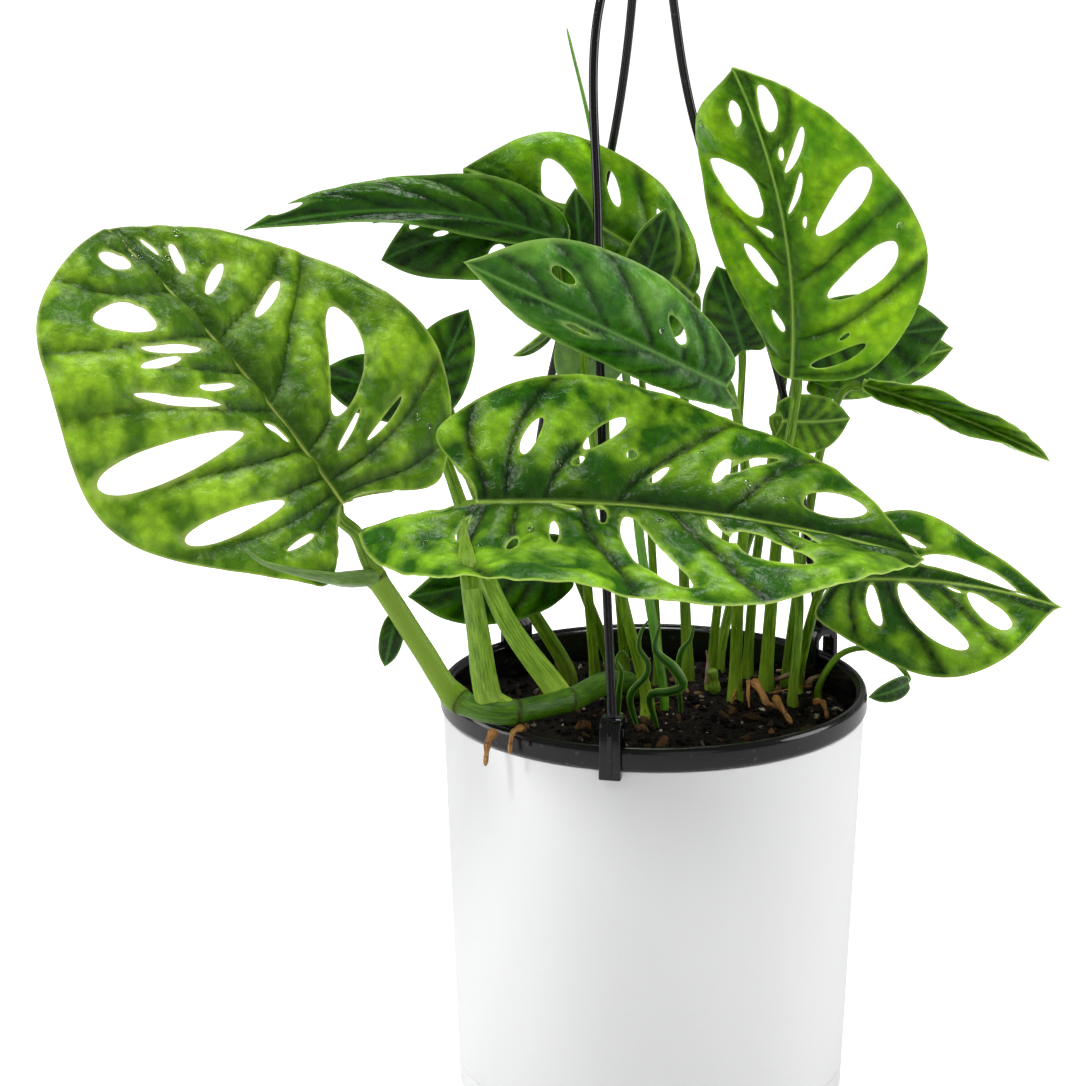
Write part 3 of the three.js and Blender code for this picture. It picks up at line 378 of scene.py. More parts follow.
class MonsteraSizes(bpy.types.PropertyGroup):
    """Sizes of the finished pieces."""

    blade_thickness: bpy.props.FloatProperty(
        name="Blade thickness", description="Thickness of every leaf blade",
        default=0.5 * MM, min=0.2 * MM, max=0.8 * MM, unit="LENGTH",
    )
    quilting: bpy.props.FloatProperty(
        name="Quilting", description="How far the blade swells between its side veins",
        default=3.8 * MM, min=0, max=5 * MM, unit="LENGTH",
    )
    vein_spacing: bpy.props.FloatProperty(
        name="Mesh spacing", description="Distance between points over a blade",
        default=1.15 * MM, min=0.8 * MM, max=4 * MM, unit="LENGTH",
    )
    soil_lumps: bpy.props.FloatProperty(
        name="Soil lumps", description="Height of the lumps in the potting mix",
        default=3.0 * MM, min=0, max=5 * MM, unit="LENGTH",
    )
    perlite_bits: bpy.props.IntProperty(
        name="Perlite bits", description="How many white grains lie on the soil", default=170, min=0,
    )
    bark_chips: bpy.props.IntProperty(
        name="Bark chips", description="How many chips of bark lie on the soil", default=230, min=0,
    )
    strand_radius: bpy.props.FloatProperty(
        name="Strand radius", description="Radius of each hanger strand",
        default=1.5 * MM, min=0.8 * MM, max=2 * MM, unit="LENGTH",
    )
    lens: bpy.props.FloatProperty(
        name="Lens", description="Focal length of the camera in millimetres", default=105, min=20,
    )


def colour_prop(name, description, default):
    return bpy.props.FloatVectorProperty(
        name=name, description=description, subtype="COLOR", size=3, min=0, max=1, default=default,
    )


class MonsteraColours(bpy.types.PropertyGroup):
    """Main colours, as linear red, green and blue."""

    pot: colour_prop("Pot", "White plastic of the outer pot", (0.90, 0.90, 0.91))
    black: colour_prop("Black plastic", "Rim, inner pot and hanger", (0.004, 0.004, 0.0045))
    soil: colour_prop("Soil", "Dark part of the potting mix", (0.0016, 0.0011, 0.0008))
    bark: colour_prop("Bark", "Chips of bark", (0.16, 0.085, 0.035))
    perlite: colour_prop("Perlite", "White grains", (0.72, 0.64, 0.50))
    floor: colour_prop("Floor", "Studio floor and backdrop", (0.95, 0.95, 0.95))


# ---------------------------------------------------------------- small helpers


def place(point):
    """A tabled place as an array in millimetres in the part's own axes."""
    return np.array([point[0], point[1], point[2] + POT_HEIGHT / MM], float)


def unit(v):
    return v / np.linalg.norm(v)


def link(obj):
    bpy.context.scene.collection.objects.link(obj)
    return obj


def only(obj):
    """Makes obj the one selected, active object."""
    for other in bpy.context.selected_objects:
        other.select_set(False)
    bpy.context.view_layer.objects.active = obj
    obj.select_set(True)


def apply_modifiers(obj):
    only(obj)
    for modifier in list(obj.modifiers):
        bpy.ops.object.modifier_apply(modifier=modifier.name)


def smooth_shading(obj, degrees=35):
    only(obj)
    bpy.ops.object.shade_smooth_by_angle(angle=math.radians(degrees))


def new_mesh(name, points, faces):
    """An object from points in millimetres."""
    mesh = bpy.data.meshes.new(name)
    mesh.from_pydata([tuple(p) for p in np.asarray(points, float) * MM], [], faces)
    mesh.update()
    return link(bpy.data.objects.new(name, mesh))


def point_colours(mesh, name, values):
    """Stores four masks per point, which the materials read by name."""
    layer = mesh.color_attributes.new(name, "FLOAT_COLOR", "POINT")
    layer.data.foreach_set("color", np.asarray(values, np.float32).ravel())


def point_vectors(mesh, name, values):
    layer = mesh.attributes.new(name, "FLOAT_VECTOR", "POINT")
    layer.data.foreach_set("vector", np.asarray(values, np.float32).ravel())


def keep(obj, slot, *nodes):
    """Puts a finished piece on the body and hides the solids it stands for; slot is not used."""
    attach(obj, "root")
    if nodes:
        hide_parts(*nodes)
    return obj


def smooth_way(points, count):
    """count points at even steps along a centripetal Catmull-Rom curve through points."""
    p = [np.asarray(q, float) for q in points]
    p = [2 * p[0] - p[1]] + p + [2 * p[-1] - p[-2]]
    dense = []
    for i in range(1, len(p) - 2):
        p0, p1, p2, p3 = p[i - 1 : i + 3]
        t1 = np.linalg.norm(p1 - p0) ** 0.5
        t2 = t1 + np.linalg.norm(p2 - p1) ** 0.5
        t3 = t2 + np.linalg.norm(p3 - p2) ** 0.5
        for t in np.linspace(t1, t2, 40, endpoint=False):
            a1 = p0 + (p1 - p0) * t / t1
            a2 = p1 + (p2 - p1) * (t - t1) / (t2 - t1)
            a3 = p2 + (p3 - p2) * (t - t2) / (t3 - t2)
            b1 = a1 + (a2 - a1) * t / t2
            b2 = a2 + (a3 - a2) * (t - t1) / (t3 - t1)
            dense.append(b1 + (b2 - b1) * (t - t1) / (t2 - t1))
    dense.append(p[-2])
    dense = np.array(dense)
    length = np.concatenate([[0], np.cumsum(np.linalg.norm(np.diff(dense, axis=0), axis=1))])
    at = np.linspace(0, length[-1], count)
    return np.stack([np.interp(at, length, dense[:, k]) for k in range(3)], axis=1)


def frames_along(way, broad=None):
    """Two unit vectors square to the way at each point: carried along without twist, or held so
    that the second one points the way broad does."""
    tangents = np.gradient(way, axis=0)
    tangents /= np.linalg.norm(tangents, axis=1)[:, None]
    first, second = [], []
    if broad is not None:
        for t in tangents:
            e1 = unit(np.cross(t, broad))
            first.append(e1)
            second.append(np.cross(e1, t))
        return np.array(first), np.array(second)
    e1 = unit(np.cross(tangents[0], [0.31, 0.87, 0.37]))
    for t in tangents:
        e1 = unit(e1 - t * (e1 @ t))
        first.append(e1)
        second.append(np.cross(t, e1))
    return np.array(first), np.array(second)


def along_way(points, steps):
    """Points along a smooth curve, closer together at both ends, and each one's part of the length."""
    dense = smooth_way(points, 240)
    ends = np.array([0, 0.06, 0.25, 0.6, 1.0]) * 0.02
    u = np.concatenate([ends, np.linspace(0.02, 0.98, steps)[1:-1], 1 - ends[::-1]])
    at = u * (len(dense) - 1)
    way = np.stack([np.interp(at, np.arange(len(dense)), dense[:, k]) for k in range(3)], axis=1)
    return way, u


def closed(u, end=0.02):
    """Rounds off both ends of a tube: 0 at the very ends and 1 in between."""
    edge = min(1.0, min(u, 1 - u) / end)
    return math.sqrt(max(0.0, 1 - (1 - edge) ** 2)) + 0.001


def tube_points(points, reach, steps, sides, broad=None):
    """Rings of points: reach(u, angles) gives the two radii of the ring at part u of the length."""
    way, parts = along_way(points, steps)
    first, second = frames_along(way, broad)
    angle = np.arange(sides) * 2 * math.pi / sides
    rings = []
    for centre, e1, e2, u in zip(way, first, second, parts):
        r1, r2 = reach(u, angle)
        r1, r2 = r1 * closed(u), r2 * closed(u)
        rings.append(centre + e1 * (r1 * np.cos(angle))[:, None] + e2 * (r2 * np.sin(angle))[:, None])
    return way, np.array(rings), angle


def tube_faces(count, sides, start=0):
    faces = []
    for i in range(count - 1):
        for k in range(sides):
            a, b = start + i * sides + k, start + i * sides + (k + 1) % sides
            faces.append((a, b, b + sides, a + sides))
    last = start + (count - 1) * sides
    faces.append(tuple(start + k for k in reversed(range(sides))))
    faces.append(tuple(last + k for k in range(sides)))
    return faces


def tube(name, points, reach, steps=40, sides=20, broad=None, marks=None):
    """A closed tube. Its grain attribute runs round and along it in centimetres, and marks(u, angles)
    gives the four masks of its marks attribute."""
    way, rings, angle = tube_points(points, reach, steps, sides, broad)
    obj = new_mesh(name, rings.reshape(-1, 3), tube_faces(len(rings), sides))
    length = np.concatenate([[0], np.cumsum(np.linalg.norm(np.diff(way, axis=0), axis=1))]) / 10
    girth = np.linalg.norm(rings - way[:, None, :], axis=2) / 10
    grain = np.stack([
        np.cos(angle)[None, :] * girth, np.sin(angle)[None, :] * girth,
        np.repeat(length[:, None], sides, axis=1),
    ], axis=2)
    point_vectors(obj.data, "grain", grain.reshape(-1, 3))
    u = np.repeat(length / length[-1], sides)
    masks = np.zeros((len(u), 4)) if marks is None else marks(u, np.tile(angle, len(rings)))
    point_colours(obj.data, "marks", masks)
    return obj


# ---------------------------------------------------------------- the leaf surface


def leaf_axes(leaf):
    """The leaf's own axes: x along the midrib, y over the left half, n out of the upper face."""
    base = place(leaf["base"])
    along = place(leaf["tip"]) - base
    length = np.linalg.norm(along)
    x = along / length
    y = np.array(leaf["across"], float)
    y = unit(y - x * (y @ x))
    return dict(base=base, length=length, x=x, y=y, n=np.cross(x, y))


def leaf_points(leaf, axes, v, along):
    """Points of the blade: v is 0 at the midrib, 1 at the left margin and -1 at the right one, and
    along is 0 at the base and 1 at the tip. A side vein runs where along stays much the same."""
    v, along = np.broadcast_arrays(np.asarray(v, float), np.asarray(along, float))
    side = np.where(v < 0, -1.0, 1.0)
    out = np.abs(v)
    h = {k: np.where(side > 0, leaf["left"][k], leaf["right"][k]) for k in leaf["left"]}
    length = axes["length"]
    turn = math.pi * (1 - along)
    c = np.cos(turn)
    full = np.clip(np.sin(turn), 0, 1) ** (0.9 + h["point"] * np.maximum(0, c) ** 2)
    cleft = np.radians(h["cleft"])
    back = np.clip((turn - cleft) / (math.pi - cleft), 0, 1)
    back = back * back * (3 - 2 * back)
    edge_x = (length - h["lobe"]) / 2 + (length + h["lobe"]) / 2 * c + h["lobe"] * back
    edge_y = h["wide"] * full * (1 - h["lean"] * c)
    root_x = length * along**2
    x = root_x + (edge_x - root_x) * out**1.5
    q = edge_y * out / h["wide"]
    roll = np.radians(np.where(np.abs(h["roll"]) < 0.1, 0.1, h["roll"]))
    fold = np.radians(h["fold"])
    y = h["wide"] / roll * (np.sin(fold + roll * q) - np.sin(fold)) * side
    z = -h["wide"] / roll * (np.cos(fold + roll * q) - np.cos(fold))
    z = z + h["wave"] * q * q * np.sin(2 * math.pi * leaf["waves"] * along + leaf["phase"])
    u = x / length
    spin = math.radians(leaf["twist"]) * u
    y, z = y * np.cos(spin) - z * np.sin(spin), y * np.sin(spin) + z * np.cos(spin)
    y = y + 4 * leaf["sag"] * u * (1 - u)
    z = z + 4 * leaf["arch"] * u * (1 - u) - leaf["curl"] * np.minimum(4, np.maximum(0, (u - 0.8) / 0.2) ** 2)
    return axes["base"] + x[..., None] * axes["x"] + y[..., None] * axes["y"] + z[..., None] * axes["n"]


def leaf_normals(leaf, axes, v, along):
    step = 0.01
    v, along = np.asarray(v, float), np.clip(np.asarray(along, float), 0.02, 0.98 - step)
    here = leaf_points(leaf, axes, v, along)
    over = leaf_points(leaf, axes, v + step, along) - here
    ahead = leaf_points(leaf, axes, v, along + step) - here
    n = np.cross(ahead, over)
    return n / np.linalg.norm(n, axis=-1)[..., None]


def hole_shape(hole, seed):
    """A hole's reach at each angle, a little uneven as a real one is."""
    dice = random.Random(seed)
    p2, p3 = dice.uniform(0, 6.28), dice.uniform(0, 6.28)
    return lambda a: 1 + 0.06 * np.sin(2 * a + p2) + 0.05 * np.sin(3 * a + p3)


def hole_rim(hole, shape, count):
    along, out, half_along, half_out, slant = hole
    a = np.arange(count) * 2 * math.pi / count
    r = shape(a)
    o = np.clip(out + half_out * r * np.cos(a), 0.004, 0.985)
    t = np.clip(along + half_along * r * np.sin(a) + slant * half_out * r * np.cos(a), 0.01, 0.99)
    return o, t


def in_hole(hole, shape, out, t, grow=0.0):
    along, middle, half_along, half_out, slant = hole
    c = (out - middle) / half_out
    s = (t - along - slant * (out - middle)) / half_along
    return np.hypot(c, s) < shape(np.arctan2(s, c)) + grow


def distance_to(points, line):
    """Each point's distance to a line of short straight pieces."""
    best = np.full(len(points), 1e9)
    for a, b in zip(line[:-1], line[1:]):
        d = b - a
        size = d @ d
        if size < 1e-9:
            continue
        t = np.clip((points - a) @ d / size, 0, 1)
        best = np.minimum(best, np.sum((points - a - t[:, None] * d) ** 2, axis=1))
    return np.sqrt(best)


def side_veins(leaf, holes):
    """Where the side veins of one half leave the midrib: between its long holes, each with its slant."""
    long_holes = sorted((h[0], h[4]) for h in holes if h[3] >= 0.1 and h[1] > 0.3)
    spots = []
    for along, slant in long_holes:
        if spots and along - spots[-1][0] < 0.07:
            spots[-1] = ((spots[-1][0] + along) / 2, (spots[-1][1] + slant) / 2)
        else:
            spots.append((along, slant))
    if len(spots) < 3:
        return [(a, 0.0) for a in (0.12, 0.24, 0.36, 0.48, 0.6, 0.72, 0.84)]
    veins = [(spots[0][0] * 0.4, spots[0][1]), (spots[0][0] * 0.75, spots[0][1])]
    veins += [((a[0] + b[0]) / 2, (a[1] + b[1]) / 2) for a, b in zip(spots[:-1], spots[1:])]
    last = spots[-1][0]
    return veins + [(last + (1 - last) * 0.45, 0.0)]


def vein_line(leaf, side, vein, holes, steps=30):
    """A side vein as v and along: it sweeps toward the tip and stops where it meets a hole."""
    out = np.linspace(0, 0.97, steps)
    along = np.clip(vein[0] + vein[1] * out + 0.012 * np.sin(5 * out + 9 * vein[0]), 0.01, 0.99)
    for hole in holes:
        shape = hole_shape(hole, 0)
        hit = np.nonzero(in_hole(hole, shape, out, along, 0.18))[0]
        if len(hit):
            out, along = out[: hit[0]], along[: hit[0]]
    return side * np.maximum(out, 1e-4), along


def triangulated(leaf, axes, spacing):
    """Triangles over the blade with its holes cut out: v and along of each corner point, the faces,
    and the rims of the holes as points in millimetres."""
    length = axes["length"]
    wide = {1: leaf["left"]["wide"], -1: leaf["right"]["wide"]}
    rows = int(max(26, 1.25 * length / spacing))
    step = {s: int(max(8, wide[s] / spacing)) for s in wide}
    v = np.concatenate([
        -((np.arange(step[-1], 0, -1) / step[-1]) ** 1.12), [0.0],
        (np.arange(1, step[1] + 1) / step[1]) ** 1.12,
    ])
    t = np.arange(1, rows) / rows
    grid_v, grid_t = [a.ravel() for a in np.meshgrid(v, t)]
    holes = [(1, h) for h in leaf.get("holes_left", [])] + [(-1, h) for h in leaf.get("holes_right", [])]
    shapes = [hole_shape(h, 31 * k + 7) for k, (s, h) in enumerate(holes)]
    free = np.ones(len(grid_v), bool)
    for (s, h), shape in zip(holes, shapes):
        grow = 0.45 * spacing / min(h[2] * length, h[3] * wide[s])
        hit = in_hole(h, shape, np.abs(grid_v), grid_t, grow) & (np.where(grid_v < 0, -1, 1) == s)
        free &= ~(hit & (np.abs(grid_v) > 1e-9) & (np.abs(grid_v) < 0.999))
    flat = [(a * wide[1 if a >= 0 else -1], b * length) for a, b in zip(grid_v[free], grid_t[free])]
    flat += [(0.0, 0.0), (0.0, length)]
    edges, rims = [], []
    for (s, h), shape in zip(holes, shapes):
        about = 2 * math.pi * math.hypot(h[2] * length, h[3] * wide[s]) / 1.41
        count = int(np.clip(about / (0.75 * spacing), 18, 90))
        o, along = hole_rim(h, shape, count)
        start = len(flat)
        flat += list(zip(s * o * wide[s], along * length))
        edges += [(start + k, start + (k + 1) % count) for k in range(count)]
        ring = leaf_points(leaf, axes, s * o, along)
        rims.append(np.concatenate([ring, ring[:1]]))
    flat, _, faces, _, _, _ = geometry.delaunay_2d_cdt([Vector(p) for p in flat], edges, [], 0, 1e-5, False)
    flat = np.array([tuple(p) for p in flat])
    v = flat[:, 0] / np.where(flat[:, 0] >= 0, wide[1], wide[-1])
    along = flat[:, 1] / length
    faces = np.array(faces)
    mid_v, mid_t = v[faces].mean(1), along[faces].mean(1)
    kept = np.ones(len(faces), bool)
    for (s, h), shape in zip(holes, shapes):
        kept &= ~(in_hole(h, shape, np.abs(mid_v), mid_t) & (np.where(mid_v < 0, -1, 1) == s))
    faces = faces[kept]
    used = np.zeros(len(v), bool)
    used[faces.ravel()] = True
    index = np.cumsum(used) - 1
    return v[used], along[used], index[faces][:, ::-1], rims


def rib_tube(points, radii, sides=8):
    """A plain tapering tube along given points, as points and faces."""
    way = np.array(points)
    first, second = frames_along(way)
    angle = np.arange(sides) * 2 * math.pi / sides
    rings = [
        c + r * (e1 * np.cos(angle)[:, None] + e2 * np.sin(angle)[:, None])
        for c, e1, e2, r in zip(way, first, second, radii)
    ]
    return np.concatenate(rings), tube_faces(len(way), sides)


def leaf_relief(leaf, axes, points, v, along, rims, sizes):
    """How far each point of the blade stands off its plain surface, and the masks for its colours."""
    scale = min(1.0, axes["length"] / 110)
    lines = {s: [] for s in (1, -1)}
    for s, key in ((1, "holes_left"), (-1, "holes_right")):
        holes = leaf.get(key, [])
        traced = [vein_line(leaf, s, vein, holes) for vein in side_veins(leaf, holes)]
        lines[s] = [line for line in traced if len(line[0]) > 4]
    to_vein = np.full(len(points), 1e9)
    for s in (1, -1):
        half = np.where(v < 0, -1, 1) == s
        for line in lines[s]:
            away = distance_to(points[half], leaf_points(leaf, axes, *line))
            to_vein[half] = np.minimum(to_vein[half], away)
    t = np.linspace(0, 1, 60)
    to_rib = distance_to(points, leaf_points(leaf, axes, 0 * t, t))
    to_edge = np.full(len(points), 1e9)
    for s in (1, -1):
        half = np.where(v < 0, -1, 1) == s
        to_edge[half] = distance_to(points[half], leaf_points(leaf, axes, s + 0 * t, t))
    for rim in rims:
        to_edge = np.minimum(to_edge, distance_to(points, rim))
    swell = sizes.quilting / MM * scale * SWELL.get(leaf["finish"], PLAIN_SWELL)
    beside_rib = 1 - np.exp(-((to_rib / 3.0) ** 2))
    beside_vein = 1 - np.exp(-((to_vein / 1.8) ** 2))
    height = swell * (1 - np.exp(-to_vein / (3.4 * scale + 0.6)))
    height *= (1 - 0.75 * np.exp(-((to_edge / 3.0) ** 2))) * beside_rib
    lumps = np.array([
        noise.noise(Vector(p) / 12.0) + 0.55 * noise.noise(Vector(p) / 5.5)
        + 0.3 * noise.noise(Vector(p) / 2.9)
        for p in points
    ])
    height += 1.0 * scale * lumps * beside_rib * beside_vein
    height += 0.2 * scale * np.exp(-((to_edge / 0.9) ** 2))
    height += 0.3 * scale * np.exp(-((to_rib / 0.7) ** 2)) - 0.5 * scale * np.exp(-((to_rib / 2.2) ** 2))
    fade = np.clip(1.15 - np.abs(v), 0, 1)
    # fine: the side-vein line (painted shade in the sunken veins), the midrib line, the margin line, and the
    # zone round the side veins (painted shade).
    fine = np.stack([
        np.exp(-((to_vein / 0.5) ** 2)) * fade,
        np.exp(-((to_rib / (0.5 + 0.25 * (1 - along))) ** 2)),
        np.exp(-((to_edge / 0.42) ** 2)),
        np.exp(-((to_vein / 2.4) ** 2)),
    ], axis=1)
    # broad: the zone round the midrib (painted shade there and no painted light), the zone by the margin, the
    # lumps (painted light where they rise), and the part of the length.
    broad = np.stack([
        np.exp(-to_rib / (9 * scale + 1)),
        np.exp(-to_edge / (5 * scale + 1)),
        np.clip(0.5 + 0.9 * lumps, 0, 1),
        along,
    ], axis=1)
    return height, fine, broad, lines


def blade(name, leaf, sizes, materials):
    """One finished leaf: a thin holed blade, with its midrib and side veins standing out below."""
    axes = leaf_axes(leaf)
    large = axes["length"] > 45
    spacing = sizes.vein_spacing / MM * (1 if large else 0.8)
    v, along, faces, rims = triangulated(leaf, axes, spacing)
    points = leaf_points(leaf, axes, v, along)
    plain = new_mesh(f"blade_{name}", points, faces.tolist())
    normals = np.zeros(len(points) * 3, np.float32)
    plain.data.vertices.foreach_get("normal", normals)
    normals = normals.reshape(-1, 3)
    height, fine, broad, lines = leaf_relief(leaf, axes, points, v, along, rims, sizes)
    points = points + normals * height[:, None]
    plain.data.vertices.foreach_set("co", (points * MM).astype(np.float32).ravel())
    point_colours(plain.data, "marks", fine)
    point_colours(plain.data, "zones", broad)
    uv = plain.data.uv_layers.new(name="blade").data
    corners = np.zeros(len(plain.data.loops), np.int32)
    plain.data.loops.foreach_get("vertex_index", corners)
    spread_out = np.stack([v[corners] * 0.5 + 0.5, along[corners]], axis=1)
    uv.foreach_set("uv", spread_out.astype(np.float32).ravel())
    for material in materials:
        plain.data.materials.append(material)
    solid = plain.modifiers.new("thickness", "SOLIDIFY")
    solid.thickness = sizes.blade_thickness
    solid.offset = 0
    solid.material_offset = 1
    solid.material_offset_rim = 2
    apply_modifiers(plain)
    ribs = under_ribs(name, leaf, axes, lines, large)
    ribs.data.materials.append(materials[3])
    only(plain)
    for material in materials:
        if material.name not in ribs.data.materials:
            ribs.data.materials.append(material)
    ribs.select_set(True)
    bpy.ops.object.join()
    smooth_shading(plain, 50)
    return keep(plain, "leaf_dark" if leaf["finish"] == "deep" else "leaf_bright", f"leaf_{name}")


def under_ribs(name, leaf, axes, lines, large):
    """The midrib and side veins that stand out under the blade."""
    scale = min(1.0, axes["length"] / 110)
    start = STALKS.get(name, dict(neck=0.8))["neck"]
    t = np.linspace(0.03, 0.97, 60)
    middle = leaf_points(leaf, axes, 0 * t, t)
    below = leaf_normals(leaf, axes, 0 * t, t)
    radii = start * 0.72 * (1 - t) ** 0.7 + 0.18
    points, faces = rib_tube(middle - below * (radii * 0.8 + 0.45)[:, None], radii, 10)
    points, faces = [points], [list(faces)]
    if large:
        for s in (1, -1):
            for v, along in lines[s]:
                root = 0.5 * scale * (1 - 0.8 * np.linspace(0, 1, len(v))) + 0.08
                line = leaf_points(leaf, axes, v, along)
                below = leaf_normals(leaf, axes, v, along)
                p, f = rib_tube(line[1:] - below[1:] * (root[1:, None] * 0.8 + 0.35), root[1:], 6)
                offset = sum(len(q) for q in points)
                points.append(p)
                faces.append([tuple(i + offset for i in face) for face in f])
    obj = new_mesh(f"ribs_{name}", np.concatenate(points), [f for group in faces for f in group])
    count = len(obj.data.vertices)
    point_colours(obj.data, "marks", np.tile([0, 1, 0, 0], (count, 1)))
    point_colours(obj.data, "zones", np.tile([0.5, 0, 0.5, 0.5], (count, 1)))
    return obj


# ---------------------------------------------------------------- stems


def stalk_points(name):
    """The stalk's way, ending just under the first part of its leaf's midrib."""
    spec = STALKS[name]
    leaf = LEAVES[name]
    axes = leaf_axes(leaf)
    droop = max(0.0, -min(leaf["left"]["fold"], leaf["right"]["fold"]))
    below = spec["neck"] / math.cos(math.radians(droop)) + 0.4
    ways = [place(p) for p in spec["way"]]
    if "root" in spec:
        x, y = spec["root"]
        ways = [np.array([x, y, SOIL_TOP / MM - 3]), np.array([x, y, SOIL_TOP / MM + 5])] + ways
    ways.append(axes["base"] - 2.5 * axes["x"] - (below + 2.2) * axes["n"])
    ways.append(axes["base"] + 2.0 * axes["x"] - (below - 0.2) * axes["n"])
    return ways


def stalk_reach(foot, neck, flat):
    """Radii of a stalk: swollen at its foot and again at the knee under the leaf, with shallow
    grooves. flat squeezes the second radius."""

    def reach(u, angle):
        r = foot + (neck - foot) * u
        r += 0.35 * foot * math.exp(-((u / 0.06) ** 2)) + 0.22 * neck * math.exp(-(((u - 0.96) / 0.04) ** 2))
        groove = 1 - 0.05 * np.abs(np.sin(3 * angle))
        groove = groove - 0.16 * (1 - u) * np.exp(-(((angle - 1.57) / 0.4) ** 2))
        return r * groove, r * (1 - (1 - flat) * (1 - 0.5 * u)) * groove

    return reach


def part_of_way(points, spot):
    """The part of the length at which a smooth way comes nearest to a place."""
    way = smooth_way(points, 400)
    return float(np.argmin(np.linalg.norm(way - spot, axis=1))) / 399


def stalk_marks(scars=(), pale_from=None):
    """Masks of a stalk: rings of old scars, the paler part, a streak of light along it, its length.
    The foot is paler, or everything beyond pale_from."""

    def marks(u, angle):
        ring = np.zeros(len(u))
        for at in scars:
            ring = np.maximum(ring, np.exp(-(((u - at - 0.004 * np.sin(2 * angle + 40 * at)) / 0.0045) ** 2)))
        pale = np.exp(-u / 0.1) if pale_from is None else 1 / (1 + np.exp(-(u - pale_from) / 0.015))
        return np.stack([ring, pale, 0.5 + 0.5 * np.cos(angle * 2 + 1), u], axis=1)

    return marks


def strap_reach(foot, neck, flat, ridges):
    """Radii of a broad stalk wrapped in its own sheath: ridged, with the sheath's edge as a step."""

    def reach(u, angle):
        r = neck + (foot - neck) * (1 - u) ** 1.3
        depth = 0.13 * (1 - 0.6 * u)
        ridge = 1 + 0.4 * depth * np.cos(ridges * angle + 0.6)
        step = 1 - depth * np.exp(-(((angle - 1.0) / 0.16) ** 2))
        step += 0.5 * depth * np.exp(-(((angle - 1.35) / 0.12) ** 2))
        return r * ridge * step, r * (flat + (1 - flat) * u) * ridge * step

    return reach


def ribbon(name, points, widths, fold=0.35):
    """A thin folded ribbon along points that faces the front, for the free end of a sheath."""
    way = smooth_way(points, 30)
    first, second = frames_along(way, np.array([0, -1.0, 0.12]))
    half = np.interp(np.linspace(0, 1, 30), np.linspace(0, 1, len(widths)), widths) / 2
    across = np.linspace(-1, 1, 7)
    verts = [
        c + e1 * w * x + e2 * w * fold * (1 - abs(x) ** 1.5)
        for c, e1, e2, w in zip(way, first, second, half) for x in across
    ]
    faces = [
        (i * 7 + j, i * 7 + j + 1, i * 7 + j + 8, i * 7 + j + 7) for i in range(29) for j in range(6)
    ]
    obj = new_mesh(name, verts, faces)
    x = np.tile(across, 30)
    run = np.repeat(np.linspace(0, 1, 30), 7)
    point_vectors(obj.data, "grain", np.stack([x * 0.3, 0 * x, run * 3], axis=1))
    point_colours(obj.data, "marks", np.stack([0 * x, np.abs(x) ** 6, 0.5 + 0 * x, run], axis=1))
    wall = obj.modifiers.new("wall", "SOLIDIFY")
    wall.thickness = 0.5 * MM
    wall.offset = 0
    apply_modifiers(obj)
    return obj


def join_into(obj, *others):
    """Makes others part of obj, keeping obj's name and materials."""
    only(obj)
    for other in others:
        other.select_set(True)
    bpy.ops.object.join()
    return obj


def spiral_leaf(name, points, foot, neck, turns):
    """A leaf still rolled up: a tapering roll whose free edge winds round it as a step."""

    def reach(u, angle):
        r = (foot * (1 - u) ** 0.75 + neck * u) * (1 + 0.18 * math.sin(math.pi * min(1, u * 1.3)))
        seam = (angle / (2 * math.pi) + turns * u) % 1.0
        r = r * (0.9 + 0.2 * seam) * np.ones_like(angle)
        return r, r

    def marks(u, angle):
        seam = (angle / (2 * math.pi) + turns * u) % 1.0
        return np.stack([0 * u, np.exp(-seam / 0.06), 0.5 + 0.5 * np.cos(angle), u], axis=1)

    return tube(name, points, reach, steps=70, sides=28, marks=marks)


# ---------------------------------------------------------------- turned and moulded pieces


def rounded(outline, radius, steps=4):
    """The outline of (radius, height) points with its inner corners rounded off."""
    result = [outline[0]]
    for a, b, c in zip(outline[:-2], outline[1:-1], outline[2:]):
        b_, to_a, to_c = np.array(b, float), np.subtract(a, b), np.subtract(c, b)
        cut = min(radius, 0.45 * np.linalg.norm(to_a), 0.45 * np.linalg.norm(to_c))
        p, q = b_ + unit(to_a) * cut, b_ + unit(to_c) * cut
        for k in range(steps + 1):
            t = k / steps
            result.append(tuple((1 - t) ** 2 * p + 2 * t * (1 - t) * b_ + t * t * q))
    return result + [outline[-1]]


def turned(name, outline, steps=168):
    """Spins an outline of (radius, height) points, in millimetres, round the pot's axis."""
    mesh = bpy.data.meshes.new(name)
    points = [(r * MM, 0, z * MM) for r, z in outline]
    mesh.from_pydata(points, [(i, i + 1) for i in range(len(points) - 1)], [])
    obj = link(bpy.data.objects.new(name, mesh))
    only(obj)
    bpy.ops.object.mode_set(mode="EDIT")
    bpy.ops.mesh.select_all(action="SELECT")
    bpy.ops.mesh.spin(steps=steps, angle=2 * math.pi, center=(0, 0, 0), axis=(0, 0, 1))
    bpy.ops.mesh.select_all(action="SELECT")
    bpy.ops.mesh.remove_doubles(threshold=0.002 * MM)
    bpy.ops.mesh.normals_make_consistent(inside=False)
    bpy.ops.object.mode_set(mode="OBJECT")
    return obj


